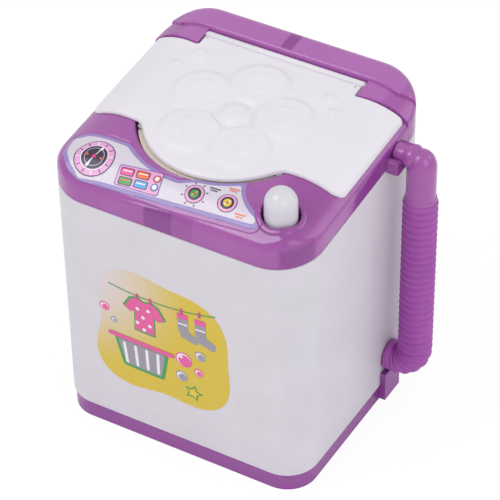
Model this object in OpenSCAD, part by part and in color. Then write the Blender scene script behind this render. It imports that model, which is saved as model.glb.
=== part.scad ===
// Toy washing machine: a white cabinet on a tray, a sloping top frame with a hinged lid,
// a push button, a wash tub with a motor driven impeller, and a drain hose that swings down.
// Origin at the middle of the underside, X to the right, Y to the back, Z up, millimetres.

/* [Body] */
// Width of the body at the seam below the top frame
body_w = 108.5; // [106:0.5:114]
// Depth of the body at the seam below the top frame
body_d = 101.5; // [99:0.5:106]
// Radius of the upright corners at the seam
corner_r = 18; // [16:0.5:20]
// How much narrower the cabinet is at its lower edge
side_draft = 2; // [1:0.2:3]
// How much shallower the cabinet is at its lower edge
face_draft = 7; // [4:0.5:8]
// Radius of the upright corners at the lower edge
foot_corner_r = 13.2; // [12:0.2:15]
// Height of the seam at the front face
seam_z = 109.8; // [106:0.2:114]
// Fall of the seam and of the whole top towards the front, in degrees
tilt = 4.6; // [3.6:0.1:5.6]
// Thickness of the moulded walls
wall = 1.8; // [1.5:0.1:2.2]
// Height of the tray rim below the cabinet
tray_h = 7.6; // [6:0.2:9]
// Step from the cabinet wall in to the tray rim
tray_step = 0.7; // [0.4:0.1:1.2]
// Thickness of the tray floor
floor_t = 2; // [1.6:0.1:2.4]

/* [Top frame] */
// Height of the lid top above the seam, square to it
top_h = 17.1; // [16:0.1:18.5]
// Depth of the deck below the lid top
deck_drop = 1.8; // [1.6:0.1:2.2]
// Width of the flat middle of the top
crown_flat = 68; // [60:1:72]
// Radius with which the top falls away to the sides
crown_r = 31.5; // [29:0.5:36]
// Height at which the front face starts to round over
nose_z = 115.9; // [114:0.1:117]
// Radius of the front edge
nose_r = 6; // [4:0.5:7]
// Slope of the control panel, in degrees
panel_slope = 33; // [30:1:36]
// Radius between the control panel and the deck
bend_r = 12; // [8:1:15]
// Depth of the bar behind the lid
bar_d = 13.1; // [12:0.1:14]
// Height of the bar above the lid
bar_rise = 1.3; // [0.8:0.1:1.8]
// Radius of the rear upper edge
rear_r = 5; // [3:0.5:6]
// Depth of the hinge blocks in front of the bar
block_d = 9; // [8:0.2:10]
// Height of the lip inside the cabinet
lip_h = 3; // [2:0.5:4]

/* [Lid] */
// Radius of the round front of the lid
lid_nose_r = 34.2; // [33:0.1:35]
// Width of the lid over its two sides
lid_w = 105.2; // [104:0.2:106]
// Distance from the middle of the body to the front edges beside the round nose
lid_side_y = 17.4; // [16:0.2:19]
// Gap between the lid and the frame around it
lid_gap = 0.5; // [0.4:0.05:0.7]
// Radius of the rolled rear edge of the lid
barrel_r = 1.5; // [1.4:0.1:1.7]
// Radius of the hinge pins
pin_r = 1; // [0.8:0.1:1.1]
// Length of each hinge pin
pin_l = 2.6; // [2:0.1:3]
// Running clearance around the hinge pins
pin_clear = 0.06; // [0.03:0.01:0.1]
// Height of the raised flower on the lid
relief_h = 1.6; // [1:0.1:2.2]
// Radius of each petal of the flower
petal_r = 13; // [11:0.5:14]
// Number of petals
petals = 5; // [4:1:7]

/* [Button] */
// Place of the button across the width
button_x = 39.2; // [37:0.2:40]
// Distance from the front face back to the middle of the button
button_in = 14.05; // [12.8:0.05:15.8]
// Radius of the button
button_r = 6.2; // [5.5:0.1:6.6]
// Height of the middle of the round button head
button_z = 130; // [129:0.1:131]
// Travel of the button
button_travel = 2.4; // [1.8:0.1:2.8]
// Gap around the button
button_gap = 0.9; // [0.6:0.1:1.1]
// Width of the collar under the button hole
button_collar = 1.4; // [1.2:0.1:1.6]
// Wall of the button cap
button_wall = 1.3; // [1:0.1:1.6]
// Depth from the middle of the round head to the seat of its spring
button_seat = 5; // [4:0.1:6]

/* [Wash tub] */
// Inner radius of the tub
tub_r = 29.2; // [27:0.2:30]
// Place of the tub from the middle to the front
tub_y = -3.1; // [-4:0.1:-2.5]
// Height of the tub floor
tub_z = 52; // [50:0.5:56]
// Wall of the tub
tub_wall = 1.4; // [1.2:0.1:1.6]
// Width of the tub flange
tub_flange = 3.8; // [3.4:0.1:4]
// Radius of the impeller
impeller_r = 22; // [18:0.5:24]
// Height of the impeller vanes
vane_h = 6; // [4:0.5:8]
// Number of impeller vanes
vanes = 4; // [3:1:6]

/* [Motor] */
// Radius of the motor can
motor_r = 10.05; // [9.8:0.05:10.3]
// Distance over the flat sides of the motor can
motor_flat = 15.1; // [14.6:0.1:15.6]
// Length of the motor can
motor_l = 20; // [18:0.5:22]
// Radius of the motor shaft
shaft_r = 1; // [0.9:0.05:1.2]

/* [Batteries] */
// Radius of a battery cell
cell_r = 7.2; // [7:0.05:7.25]
// Length of a cell with its button
cell_l = 50; // [49.5:0.1:50.5]
// Length of a contact spring with the cells in place
contact_l = 4; // [3.5:0.1:4.5]
// Distance from the back face in to the middle of the battery bay
bay_in = 26.75; // [25.75:0.25:27.75]

/* [Hose] */
// Place of the hose across the width
hose_x = 65; // [64:0.2:67]
// Distance from the back face in to the hose
hose_in = 29.15; // [27.75:0.2:30.75]
// Radius over the ribs of the hose
rib_r = 6.7; // [6.3:0.1:7]
// Radius in the grooves between the ribs
groove_r = 5.9; // [5.7:0.1:6.1]
// Radius of the bore of the hose
hose_bore = 4.9; // [4.6:0.1:5.1]
// Distance from rib to rib
rib_pitch = 3.1; // [2.8:0.1:3.6]
// Height of the upper end of the hose
hose_top_z = 101.5; // [98:0.5:104]
// Height of the outlet at the foot of the hose
outlet_z = 21; // [20:0.5:24]
// Radius of the smooth elbow at the top of the hose
elbow_r = 5.65; // [5.4:0.05:5.8]
// Radius of the arm of the elbow
arm_r = 3.9; // [3.6:0.1:4.2]
// Height of the arm of the elbow above the seam beside it
arm_rise = 4; // [3.6:0.1:4.4]
// Wall of the elbow and of the outlet
pipe_wall = 1; // [0.8:0.1:1.2]
// Clearance of the arm in its cradle
cradle_gap = 0.35; // [0.3:0.05:0.5]

/* [Labels] */
// Thickness of the stuck on labels
label_t = 0.25; // [0.2:0.05:0.4]
// Mean radius of the label on the front
sticker_r = 30.5; // [28:0.5:33]
// Place of the front label across the width
sticker_x = -5; // [-7:0.5:-3]
// Height of the middle of the front label
sticker_z = 55; // [52:0.5:58]

/* [Hidden] */
stop_x = -3.4;
stop_w = 12;
stop_h = 9;
stop_t = 2.2;
hinge_boss = 1.6;
trough_half = 3.4;
trough_t = 3;
relief_y = -1.5;
petal_reach = 18;
bubbles = [[-29, 22, 4.4], [27, 22, 3.2], [31.5, 16, 2.2], [-34, 14.5, 2.2]];
$fn = 64;
orchid = "#A55CA8";
milk = "#D2CED7";
cut = 0.5;
far = 200;
fit_gap = 0.3;
front_y = -body_d / 2;
back_y = body_d / 2;
side_x = body_w / 2;
button_y = front_y + button_in;
bay_y = back_y - bay_in;
hose_y = back_y - hose_in;
foot_w = body_w - side_draft;
foot_d = body_d - face_draft;
deck_h = top_h - deck_drop;
bar_h = top_h + bar_rise;
seam_mid_z = seam_z + tan(tilt) * body_d / 2;
bar_y = back_y - bar_d;
block_y = bar_y - block_d;
crown_half = side_x + 2;
crown_end = asin((crown_half - crown_flat / 2) / crown_r);
arc_steps = 8;
// Hinge axis in the frame of the seam: height above it, and distance back from the front edge
hinge_v = top_h - barrel_r - 0.05;
hinge_u = along(bar_y - lid_gap - barrel_r, hinge_v);
hinge_half = crown_flat / 2 - lid_gap;
recess_r = lid_nose_r + 0.6;
recess_depth = 2.2;
recess_flare = 2.4;
tub_open_r = tub_r + tub_wall + 0.5;
flange_v = deck_h - recess_depth;
flange_t = 1.2;
hole_r = button_r + button_gap;
collar_r = hole_r + button_collar;
collar_z = seam_z + 8.6;
ring_w = 2;
ring_h = 0.5;
seat_z = button_z - button_seat;
button_flange_t = 1.2;
spring_r = 3.2;
spring_wire = 0.35;
spring_play = 0.05;
leaf_t = 0.3;
leaf_w = 1.6;
leaf_foot = 4;
leaf_tip = 5;
button_flange_r = hole_r + 0.9;
switch_z = seam_z - 2.2;
switch_t = 1.6;
switch_w = 21.6;
switch_d = 19.4;
screw_r = 1.3;
screw_head_r = 2.4;
screw_head_t = 1.5;
screw_l = 8;
screw_tip = 1;
pilot_gap = 0.05;
small_screw_r = 0.8;
small_head_r = 1.6;
small_head_t = 1;
small_screw_l = 5;
post_left = 12.2;
post_right = 3.6;
post_back = 11.2;
switch_posts = [[button_x - post_left, button_y], [button_x + post_right, button_y + post_back]];
tub_screw_angles = [50, 130, 210, 330];
tub_boss_l = 6;
boss_r = 3.2;
small_boss_wall = 1.4;
pad_w = 1.2;
screw_sink = 3;
tray_lip_h = 2.5;
tray_lip_t = 1.2;
saddle_t = 2.1;
saddle_low = 1.6;
lip_play = 0.5;
lip_t = 1.2;
ear_drop = 9;
ear_t = 2.2;
// Posts of the top frame, each screwed to an ear inside the cabinet
frame_post_x = side_x - wall - 4.6;
frame_post_rear = back_y - 16.75;
frame_post_left = -20;
frame_post_right = -14;
frame_posts = [[-frame_post_x, frame_post_left], [frame_post_x, frame_post_right],
    [-frame_post_x, frame_post_rear], [frame_post_x, frame_post_rear]];
base_post_x = foot_w / 2 - wall - 7.2;
base_post_y = foot_d / 2 - wall - 7.2;
base_post_top = tray_h + 18;
cell_gap = 0.8;
contact_r = 2.4;
contact_foot_r = 4.4;
cell_pitch = 2 * cell_r + cell_gap;
cell_z = floor_t + cell_r + fit_gap;
bay_wall = 1.4;
plate_t = 0.5;
touch_gap = 0.1;
bay_l = cell_l + contact_l + 2 * plate_t + 2 * touch_gap;
bay_w = 2 * cell_pitch + 0.6;
bay_top = cell_z + cell_r * 0.55;
door_l = bay_l + 5;
door_w = bay_w + 3;
door_lap = 1.2;
door_ear_t = 2.2;
door_ear_r = 4.4;
door_screw_x = door_l / 2 + 3.4;
nub_l = 1.3;
nub_r = 2.7;
impeller_gap = 0.8;
impeller_t = 2.2;
impeller_z = tub_z + tub_wall + impeller_gap;
hub_r = 5;
hub_h = 9;
motor_top = tub_z - 6;
motor_z = motor_top - motor_l;
cap_t = 4.6;
nose_boss_r = 3;
nose_boss_t = 1.6;
lug_drop = 2.6;
lug_x = 5;
can_wall = 0.8;
rotor_r = 5.6;
rotor_l = 12;
seal_r = 3.6;
seal_t = 2.6;
seal_boss_h = 3;
bracket_t = 1.2;
bracket_x = 15.5;
bracket_grip = 14;
outlet_r = hose_bore - 0.05;
spigot_in = 6;
spigot_flange_t = 1.4;
spigot_flange_w = 2;
cuff_r = rib_r - 0.5;
arm_z = seam_at(hose_y) + arm_rise;
elbow_top_z = arm_z - 1.6;
outlet_x = side_x - side_draft / 2;
bend_axis_r = 8;
bend_x = hose_x - bend_axis_r;
bend_z = outlet_z + bend_axis_r;
bend_ribs = 5;
elbow_plug = 9;
elbow_plug_r = hose_bore - 0.05;
cradle_r = arm_r + cradle_gap;
cradle_wall = 3.2;
cradle_floor = 1.5;
cradle_end = hose_x - elbow_r - 0.5;
drain_r = outlet_r - pipe_wall - 0.05;
drain_bore = drain_r - pipe_wall;
drain_joint = 0.2;
pipe_lap = 3.6;
nipple_r = drain_bore - 0.05;
nipple_l = 5;
drain_x = 17;
drain_y = tub_y + 17.1;
drain_turn_z = 30;
drain_side_x = 39;
wire_r = 0.6;
wire_joint = 0.2;
// The wires end on the contact plates, the lugs of the motor and the switch
wire_start = bay_l / 2 - 0.3;
wire_end_z = switch_z - 0.75;
lug_z = motor_z - cap_t - 1.8;
battery_wire_route = [[wire_start, bay_y - cell_pitch / 2, 14],
    [wire_start - 0.5, bay_y - cell_pitch / 2 - 0.8, 18.6], [5, 6, 16.5], [-lug_x - 1.2, tub_y, lug_z]];
switch_wire_route = [[wire_start, bay_y + cell_pitch / 2, 14], [wire_start + 6.7, bay_y + 9, 24],
    [45.3, -5.2, 80], [42.3, button_y + 13.1, wire_end_z - 5.25], [40, button_y + 7.7, wire_end_z]];
motor_wire_route = [[34, button_y + 2.7, wire_end_z], [34.4, button_y + 6.7, wire_end_z - 10.85],
    [36, -16, 66], [24, -12, 36], [13, -7, 22], [lug_x + 1.2, tub_y, lug_z]];

// Height of the seam at a depth
function seam_at(y) = seam_z + tan(tilt) * (y - front_y);
// Height of a surface that lies v above the seam, at a depth
function level_at(y, v) = seam_at(y) + v / cos(tilt);
// Distance along the seam of the point at depth y that lies v above the seam
function along(y, v) = (y - front_y) / cos(tilt) + v * tan(tilt);
function arc(c, r, a0, a1, n = arc_steps) =
    [for (k = [0:n]) let (a = a0 + (a1 - a0) * k / n) [c[0] + r * cos(a), c[1] + r * sin(a)]];
// Half of the crowned cross section, s is the side
function crown_side(v, s) =
    [for (k = [0:arc_steps]) let (a = crown_end * k / arc_steps)
        [s * (crown_flat / 2 + crown_r * sin(a)), v - crown_r * (1 - cos(a))]];
function backwards(list) = [for (k = [len(list) - 1:-1:0]) list[k]];
// Outline of the front label: a rounded square that waves in and out
function sticker_radius(a) = sticker_r * (1 + 0.1 * cos(4 * a - 170) + 0.045 * cos(3 * a + 40));
function sticker_outline(grow = 0) =
    [for (k = [0:59]) let (a = k * 6) (sticker_radius(a) + grow) * [cos(a), sin(a)]];

// Rounded rectangle round the origin
module rounded(w, d, r) {
  square([w - 2 * r, d], center = true);
  square([w, d - 2 * r], center = true);
  for (x = [-1, 1], y = [-1, 1])
    translate([x * (w / 2 - r), y * (d / 2 - r)])
      circle(r = r);
}

// The frame of the seam: its origin is the middle of the front edge, tilted with the top
module on_seam() {
  translate([0, front_y, seam_z])
    rotate([tilt, 0, 0])
      children();
}

// Everything below a plane that lies v above the seam
module below_seam(v = 0) {
  on_seam()
    translate([-far, -far / 2, v - 2 * far])
      cube([2 * far, 2 * far, 2 * far]);
}

// Tapered block of the cabinet, drawn in by inset
module cabinet_block(inset, low, high) {
  span = seam_mid_z - tray_h;
  hull() {
    for (z = [low, high]) {
      f = (z - tray_h) / span;
      translate([0, 0, z])
        linear_extrude(0.01)
          rounded(foot_w + side_draft * f - 2 * inset, foot_d + face_draft * f - 2 * inset,
              foot_corner_r + (corner_r - foot_corner_r) * f - inset, $fn = 48);
    }
  }
}

// Upright prism of the top, drawn in by inset
module top_prism(inset) {
  translate([0, 0, seam_z - 20])
    linear_extrude(60)
      rounded(body_w - 2 * inset, body_d - 2 * inset, corner_r - inset);
}

// Crowned block whose top lies v above the seam
module crown_block(v) {
  on_seam()
    translate([0, 1.5 * body_d, 0])
      rotate([90, 0, 0])
        linear_extrude(2 * body_d)
          polygon(concat(backwards(crown_side(v, -1)), crown_side(v, 1),
              [[crown_half, -20], [-crown_half, -20]]));
}

// Side view of nose, control panel and deck, drawn in by inset
module panel_profile(inset) {
  nose_c = [front_y + nose_r, nose_z];
  panel_dir = [cos(panel_slope), sin(panel_slope)];
  panel_out = [-sin(panel_slope), cos(panel_slope)];
  deck_out = [-sin(tilt), cos(tilt)];
  start = nose_c + nose_r * panel_out;
  deck_point = [front_y, level_at(front_y, deck_h)];
  s = (-bend_r - (start - bend_r * panel_out - deck_point) * deck_out) / sin(panel_slope - tilt);
  bend_c = start + s * panel_dir - bend_r * panel_out;
  polygon(concat(
      [[front_y + inset, seam_z - 30]],
      arc(nose_c, nose_r - inset, 180, 90 + panel_slope),
      arc(bend_c, bend_r - inset, 90 + panel_slope, 90 + tilt),
      [[back_y + 5, level_at(back_y + 5, deck_h) - inset / cos(tilt)], [back_y + 5, seam_z - 30]]));
}

// Side view of the bar behind the lid, drawn in by inset
module bar_profile(inset) {
  front_r = 2;
  front_c = [bar_y + front_r, level_at(bar_y + front_r, bar_h) - front_r / cos(tilt)];
  over = 0.3;
  rear_c = [back_y + over - rear_r, level_at(back_y + over - rear_r, bar_h) - rear_r / cos(tilt)];
  polygon(concat(
      [[bar_y + inset, seam_z - 30]],
      arc(front_c, front_r - inset, 180, 90 + tilt),
      arc(rear_c, rear_r - inset, 90 + tilt, 0),
      [[back_y + over - inset, seam_z - 30]]));
}

// Turns a side view into a block across the width
module across(half = crown_half) {
  translate([-half, 0, 0])
    rotate([90, 0, 90])
      linear_extrude(2 * half)
        children();
}

// Plan of the two hinge blocks, drawn in by inset
module block_plan(inset) {
  for (s = [-1, 1])
    polygon([[s * (crown_flat / 2 + inset), block_y + inset], [s * crown_half, block_y + 4 + inset],
        [s * crown_half, bar_y + 4], [s * (crown_flat / 2 + inset), bar_y + 4]]);
}

// Outer form of the top frame, drawn in by inset
module frame_block(inset) {
  intersection() {
    top_prism(inset);
    union() {
      intersection() {
        across() panel_profile(inset);
        crown_block(deck_h - inset);
      }
      intersection() {
        across() bar_profile(inset);
        crown_block(bar_h - inset);
      }
      intersection() {
        translate([0, 0, seam_z - 30])
          linear_extrude(80)
            block_plan(inset);
        crown_block(top_h - inset);
      }
    }
  }
}

module cabinet_wall() {
  difference() {
    intersection() {
      cabinet_block(0, tray_h, seam_mid_z + 15);
      below_seam();
    }
    cabinet_block(wall, tray_h - cut, seam_mid_z + 16);
    translate([side_x - 10, hose_y, outlet_z])
      rotate([0, 90, 0])
        cylinder(r = outlet_r + fit_gap, h = 20);
  }
}

// Post for a tapping screw that comes from below, joined to the side wall by a rib
module base_post(sx, sy) {
  rib_end = foot_w / 2 - wall / 2;
  difference() {
    union() {
      translate([sx * base_post_x, sy * base_post_y, tray_h + 1])
        cylinder(r = boss_r, h = base_post_top - tray_h - 1);
      translate([sx > 0 ? base_post_x : -rib_end, sy * base_post_y - 0.7, tray_h + 1])
        cube([rib_end - base_post_x, 1.4, base_post_top - tray_h - 1]);
    }
    translate([sx * base_post_x, sy * base_post_y, 0])
      cylinder(r = screw_r + pilot_gap, h = tray_h + screw_l + 3);
  }
}

// Ear inside the cabinet on which a post of the top frame stands
module frame_ear(p) {
  z = seam_at(p[1]) - ear_drop - ear_t;
  s = sign(p[0]);
  difference() {
    union() {
      translate([p[0], p[1], z])
        cylinder(r = boss_r + 0.8, h = ear_t);
      translate([s > 0 ? p[0] : -(side_x - wall / 2), p[1] - boss_r, z])
        cube([side_x - wall / 2 - abs(p[0]), 2 * boss_r, ear_t]);
    }
    translate([p[0], p[1], z - cut])
      cylinder(r = screw_r + 0.2, h = ear_t + 2 * cut);
  }
}

module cabinet() {
  color(milk) {
    union() {
      cabinet_wall();
      for (sx = [-1, 1], sy = [-1, 1])
        base_post(sx, sy);
      for (p = frame_posts)
        frame_ear(p);
    }
  }
}

// Saddle of the tray that rises under the outlet, outside the cabinet
module tray_saddle() {
  w = 2 * groove_r;
  near_x = outlet_x + fit_gap + 0.1;
  translate([outlet_x - tray_step - 0.8, hose_y - w / 2, saddle_low])
    cube([near_x + saddle_t - outlet_x + tray_step + 0.8, w, tray_h - saddle_low - fit_gap]);
  translate([near_x, hose_y - w / 2, saddle_low])
    cube([saddle_t, w, outlet_z - cuff_r - fit_gap - saddle_low]);
}

module base_tray() {
  color(orchid) {
    difference() {
      union() {
        difference() {
          cabinet_block(tray_step, 0, tray_h);
          translate([0, 0, floor_t])
            cabinet_block(tray_step + wall, 0, tray_h);
        }
        // Lip inside the foot of the cabinet
        difference() {
          cabinet_block(wall + fit_gap, tray_h - tray_lip_h, tray_h + tray_lip_h);
          cabinet_block(wall + fit_gap + tray_lip_t, tray_h - tray_lip_h - cut,
              tray_h + tray_lip_h + cut);
          for (sx = [-1, 1], sy = [-1, 1])
            translate([sx * (base_post_x + 6), sy * base_post_y, tray_h + 5])
              cube([14, 2.4, 12], center = true);
        }
        // Pads under the posts of the cabinet
        for (sx = [-1, 1], sy = [-1, 1])
          translate([sx * base_post_x, sy * base_post_y, 0])
            cylinder(r = boss_r + pad_w, h = tray_h + 1);
        battery_bay();
        tray_saddle();
      }
      for (sx = [-1, 1], sy = [-1, 1])
        translate([sx * base_post_x, sy * base_post_y, 0]) {
          translate([0, 0, -cut])
            cylinder(r = screw_r + 0.2, h = tray_h + 5);
          translate([0, 0, -cut])
            cylinder(r = screw_head_r + 0.4, h = screw_sink + cut);
        }
      // Mouth of the battery bay and the step for its door
      translate([-bay_l / 2, bay_y - bay_w / 2, -cut])
        cube([bay_l, bay_w, floor_t + 2 * cut]);
      translate([-door_l / 2, bay_y - door_w / 2, -cut])
        cube([door_l, door_w, door_lap + cut]);
      translate([door_screw_x, bay_y, -cut])
        cylinder(r = door_ear_r, h = door_ear_t + cut);
    }
  }
}

// Open box that holds the two cells above the tray floor
module battery_bay() {
  difference() {
    translate([-bay_l / 2 - bay_wall, bay_y - bay_w / 2 - bay_wall, floor_t - 0.5])
      cube([bay_l + 2 * bay_wall, bay_w + 2 * bay_wall, bay_top - floor_t + 0.5]);
    translate([-bay_l / 2, bay_y - bay_w / 2, floor_t - 1])
      cube([bay_l, bay_w, bay_top]);
  }
  // Post for the screw of the battery door
  difference() {
    translate([door_screw_x, bay_y, floor_t - 0.5])
      cylinder(r = door_ear_r + 1.2, h = small_screw_l + 1.5);
    translate([door_screw_x, bay_y, 0])
      cylinder(r = small_screw_r + pilot_gap, h = small_screw_l + 2.5);
  }
}

module tapping_screw(r, length, head_r, head_t) {
  cylinder(r = head_r, h = head_t);
  translate([0, 0, head_t - 0.01])
    cylinder(r = r, h = length);
}

module base_screws() {
  color("silver")
    for (sx = [-1, 1], sy = [-1, 1])
      translate([sx * base_post_x, sy * base_post_y, screw_sink - screw_head_t])
        tapping_screw(screw_r, tray_h + screw_l - screw_tip, screw_head_r, screw_head_t);
}

module battery_door() {
  play = 0.25;
  lift = 0.1;
  color(orchid) {
    difference() {
      union() {
        translate([-door_l / 2 + play, bay_y - door_w / 2 + play, lift])
          cube([door_l - 2 * play, door_w - 2 * play, door_lap - lift - 0.05]);
        translate([door_screw_x, bay_y, lift])
          cylinder(r = door_ear_r - play, h = door_ear_t - lift - 0.05);
        translate([-bay_l / 2 + 0.4, bay_y - bay_w / 2 + 0.4, lift])
          cube([bay_l - 0.8, bay_w - 0.8, floor_t - lift - 0.1]);
      }
      translate([door_screw_x, bay_y, -cut])
        cylinder(r = small_screw_r + 0.2, h = door_ear_t + 2 * cut);
      translate([door_screw_x, bay_y, -cut])
        cylinder(r = small_head_r + 0.2, h = small_head_t + lift + cut);
      // Grip grooves
      for (k = [0:2])
        translate([-door_l / 2 + 5 + 2.4 * k, bay_y - 8, -cut])
          cube([1.2, 16, cut + 0.6]);
    }
  }
}

module door_screw() {
  color("silver")
    translate([door_screw_x, bay_y, 0.1])
      tapping_screw(small_screw_r, small_screw_l, small_head_r, small_head_t);
}

module battery_cells() {
  color("#3C8C4A")
    for (s = [-1, 1])
      translate([s * (contact_l / 2), bay_y + s * cell_pitch / 2, cell_z])
        rotate([0, s * 90, 0])
          translate([0, 0, -cell_l / 2]) {
            cylinder(r = cell_r, h = cell_l - nub_l);
            cylinder(r = nub_r, h = cell_l);
          }
}

// Plates at the two ends of the bay: one bridge on the left, two single ones on the right
module contact_plates() {
  h = cell_z + cell_r * 0.5 - floor_t - fit_gap;
  color("#C9CCCF") {
    translate([-bay_l / 2, bay_y - cell_pitch + 1, floor_t + fit_gap])
      cube([plate_t, 2 * cell_pitch - 2, h]);
    for (s = [-1, 1])
      translate([bay_l / 2 - plate_t, bay_y + s * cell_pitch / 2 - cell_r + 1, floor_t + fit_gap])
        cube([plate_t, 2 * cell_r - 2, h]);
  }
}

// Open coil along Z: one unbroken wire of six sides whose radius runs from r0 to r1
module coil(r0, r1, length, turns, wire) {
  rings = round(turns * 12);
  sides = 6;
  rise = length - 2 * wire;
  pts = [for (k = [0:rings], j = [0:sides - 1])
      let (a = 360 * turns * k / rings, r = r0 + (r1 - r0) * k / rings, b = 360 * j / sides)
      [(r + wire * cos(b)) * cos(a), (r + wire * cos(b)) * sin(a),
          wire + rise * k / rings + wire * sin(b)]];
  polyhedron(pts, concat(
      [[for (j = [0:sides - 1]) j]],
      [for (k = [0:rings - 1], j = [0:sides - 1]) let (n = (j + 1) % sides)
          [k * sides + n, k * sides + j, (k + 1) * sides + j]],
      [for (k = [0:rings - 1], j = [0:sides - 1]) let (n = (j + 1) % sides)
          [k * sides + n, (k + 1) * sides + j, (k + 1) * sides + n]],
      [[for (j = [sides - 1:-1:0]) rings * sides + j]]), convexity = 10);
}

module battery_springs() {
  free = contact_l - 0.1;
  color("#C9CCCF")
    for (s = [-1, 1])
      translate([s * (contact_l / 2 - cell_l / 2 - touch_gap / 2), bay_y + s * cell_pitch / 2, cell_z])
        rotate([0, -s * 90, 0])
          coil(contact_r, contact_foot_r, free, 3, spring_wire);
}

// Smooth outline beside the button and the lid for the control label, grown by g
module label_plan(g = 0) {
  edge = 2.4 - g;
  left_c = [-(side_x - corner_r), -(back_y - corner_r)];
  nose_gap = recess_r + recess_flare + 0.6 - g;
  // The label is stuck on with its right end a little higher
  tip_y = front_y + 3.9 - g;
  base_y = front_y + 1.6 - g;
  polygon(concat(
      arc(left_c, corner_r - edge, 168, 240),
      [[-30, base_y], [button_x - 6.4, tip_y]],
      arc([button_x, button_y], hole_r + 3 - g, 238, 186),
      arc([0, tub_y], nose_gap, -50, -130),
      [[-29.5, button_y + 6 + g], [left_c[0] - 9, button_y + 7 + g]]));
}

module label_prism(g = 0) {
  translate([0, 0, seam_z + 2])
    linear_extrude(40)
      label_plan(g);
}

module control_label() {
  color("#EDEAF0")
    difference() {
      intersection() {
        label_prism();
        frame_block(0.05);
      }
      frame_block(0.05 + label_t);
    }
}

module front_label() {
  color("#DABE32")
    difference() {
      intersection() {
        cabinet_block(-label_t, tray_h, seam_mid_z);
        translate([sticker_x, 0, sticker_z])
          rotate([90, 0, 0])
            linear_extrude(far)
              polygon(sticker_outline());
      }
      cabinet_block(0, tray_h - 1, seam_mid_z + 1);
    }
}

// Skin of the top frame, open below
module frame_skin() {
  difference() {
    frame_block(0);
    below_seam();
    frame_block(wall);
  }
}

// Lip that locates the frame in the mouth of the cabinet
module frame_lip() {
  difference() {
    intersection() {
      union() {
        top_prism(wall + lip_play);
        difference() {
          top_prism(wall - 0.3);
          below_seam(0.4);
        }
      }
      below_seam(2.6);
    }
    top_prism(wall + lip_play + lip_t);
    below_seam(-lip_h);
    for (p = frame_posts)
      translate([sign(p[0]) * side_x, p[1], seam_z])
        cube([16, 2 * boss_r + 2, 40], center = true);
  }
}

module frame_post(x, y, low, r) {
  intersection() {
    translate([x, y, low])
      cylinder(r = r, h = 40);
    frame_block(wall / 2);
  }
}

// Open U in which the arm of the elbow lies
module cradle() {
  half = cradle_r + cradle_wall;
  low = arm_z - cradle_r - cradle_floor;
  difference() {
    union() {
      translate([side_x + fit_gap, hose_y - half, low])
        cube([cradle_end - side_x - fit_gap, 2 * half, arm_z - low]);
      difference() {
        translate([side_x - wall / 2, hose_y - half, low])
          cube([wall, 2 * half, arm_z - low]);
        below_seam(0.3);
      }
    }
    translate([side_x - wall, hose_y, arm_z])
      rotate([0, 90, 0])
        cylinder(r = cradle_r, h = 20);
    translate([-wall / 2, 0, 0])
      intersection() {
        top_prism(0);
        translate([0, 0, seam_z])
          cylinder(r = far, h = far);
      }
  }
}

module hinge_axis() {
  on_seam()
    translate([0, hinge_u, hinge_v])
      rotate([0, 90, 0])
        children();
}

module top_frame() {
  low_post = [for (p = frame_posts) seam_at(p[1]) - ear_drop];
  color(orchid) {
    difference() {
      union() {
        frame_skin();
        frame_lip();
        // Ring that carries the tub flange
        intersection() {
          on_seam()
            translate([0, along(tub_y, flange_v), flange_v - wall])
              cylinder(r = recess_r + recess_flare + wall, h = recess_depth + wall);
          frame_block(wall / 2);
        }
        // Thick bed below the rolled edge of the lid
        intersection() {
          on_seam()
            translate([-crown_flat / 2 - 2, hinge_u - trough_half, deck_h - trough_t - 0.6])
              cube([crown_flat + 4, 2 * trough_half, trough_t]);
          frame_block(wall / 2);
        }
        // Bosses for the hinge pins
        intersection() {
          hinge_axis()
            translate([0, 0, -crown_flat / 2 - pin_l - 1])
              cylinder(r = pin_r + hinge_boss, h = crown_flat + 2 * pin_l + 2);
          frame_block(wall / 4);
          translate([0, 0, seam_z - 20])
            linear_extrude(80)
              block_plan(0);
        }
        // Collar that guides the button
        frame_post(button_x, button_y, collar_z, collar_r);
        // Raised ring round the button
        intersection() {
          translate([button_x, button_y, collar_z])
            cylinder(r = hole_r + ring_w, h = 30);
          frame_block(-ring_h);
        }
        for (k = [0:len(frame_posts) - 1])
          frame_post(frame_posts[k][0], frame_posts[k][1], low_post[k], boss_r);
        for (p = switch_posts)
          frame_post(p[0], p[1], switch_z + switch_t, small_screw_r + small_boss_wall);
        for (a = tub_screw_angles)
          tub_boss(a);
        front_stop();
        cradle();
      }
      // Mouth of the tub and the round recess of the lid
      translate([0, tub_y, seam_z - 10])
        cylinder(r = tub_open_r, h = 50);
      on_seam()
        translate([0, along(tub_y, flange_v), flange_v])
          cylinder(r1 = recess_r, r2 = recess_r + 1.2 * recess_flare, h = 1.2 * recess_depth);
      translate([button_x, button_y, collar_z - cut])
        cylinder(r = hole_r, h = 40);
      // Trough of the rolled edge, and the bores of the hinge pins
      hinge_axis()
        translate([0, 0, -crown_flat / 2 + 0.01])
          cylinder(r = barrel_r + 0.4, h = crown_flat - 0.02);
      hinge_axis()
        translate([0, 0, -crown_flat / 2 - pin_l - 0.4])
          cylinder(r = pin_r + pin_clear, h = crown_flat + 2 * pin_l + 0.8);
      // Bed of the control label
      difference() {
        label_prism(0.4);
        frame_block(0.05 + label_t);
      }
      for (k = [0:len(frame_posts) - 1])
        translate([frame_posts[k][0], frame_posts[k][1], low_post[k] - cut])
          cylinder(r = screw_r + pilot_gap, h = screw_l + 1);
      for (p = switch_posts)
        translate([p[0], p[1], switch_z])
          cylinder(r = small_screw_r + pilot_gap, h = switch_t + small_screw_l);
      for (a = tub_screw_angles)
        tub_screw_axis(a)
          translate([0, 0, -tub_boss_l])
            cylinder(r = small_screw_r + pilot_gap, h = tub_boss_l + 5);
    }
  }
}

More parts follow.
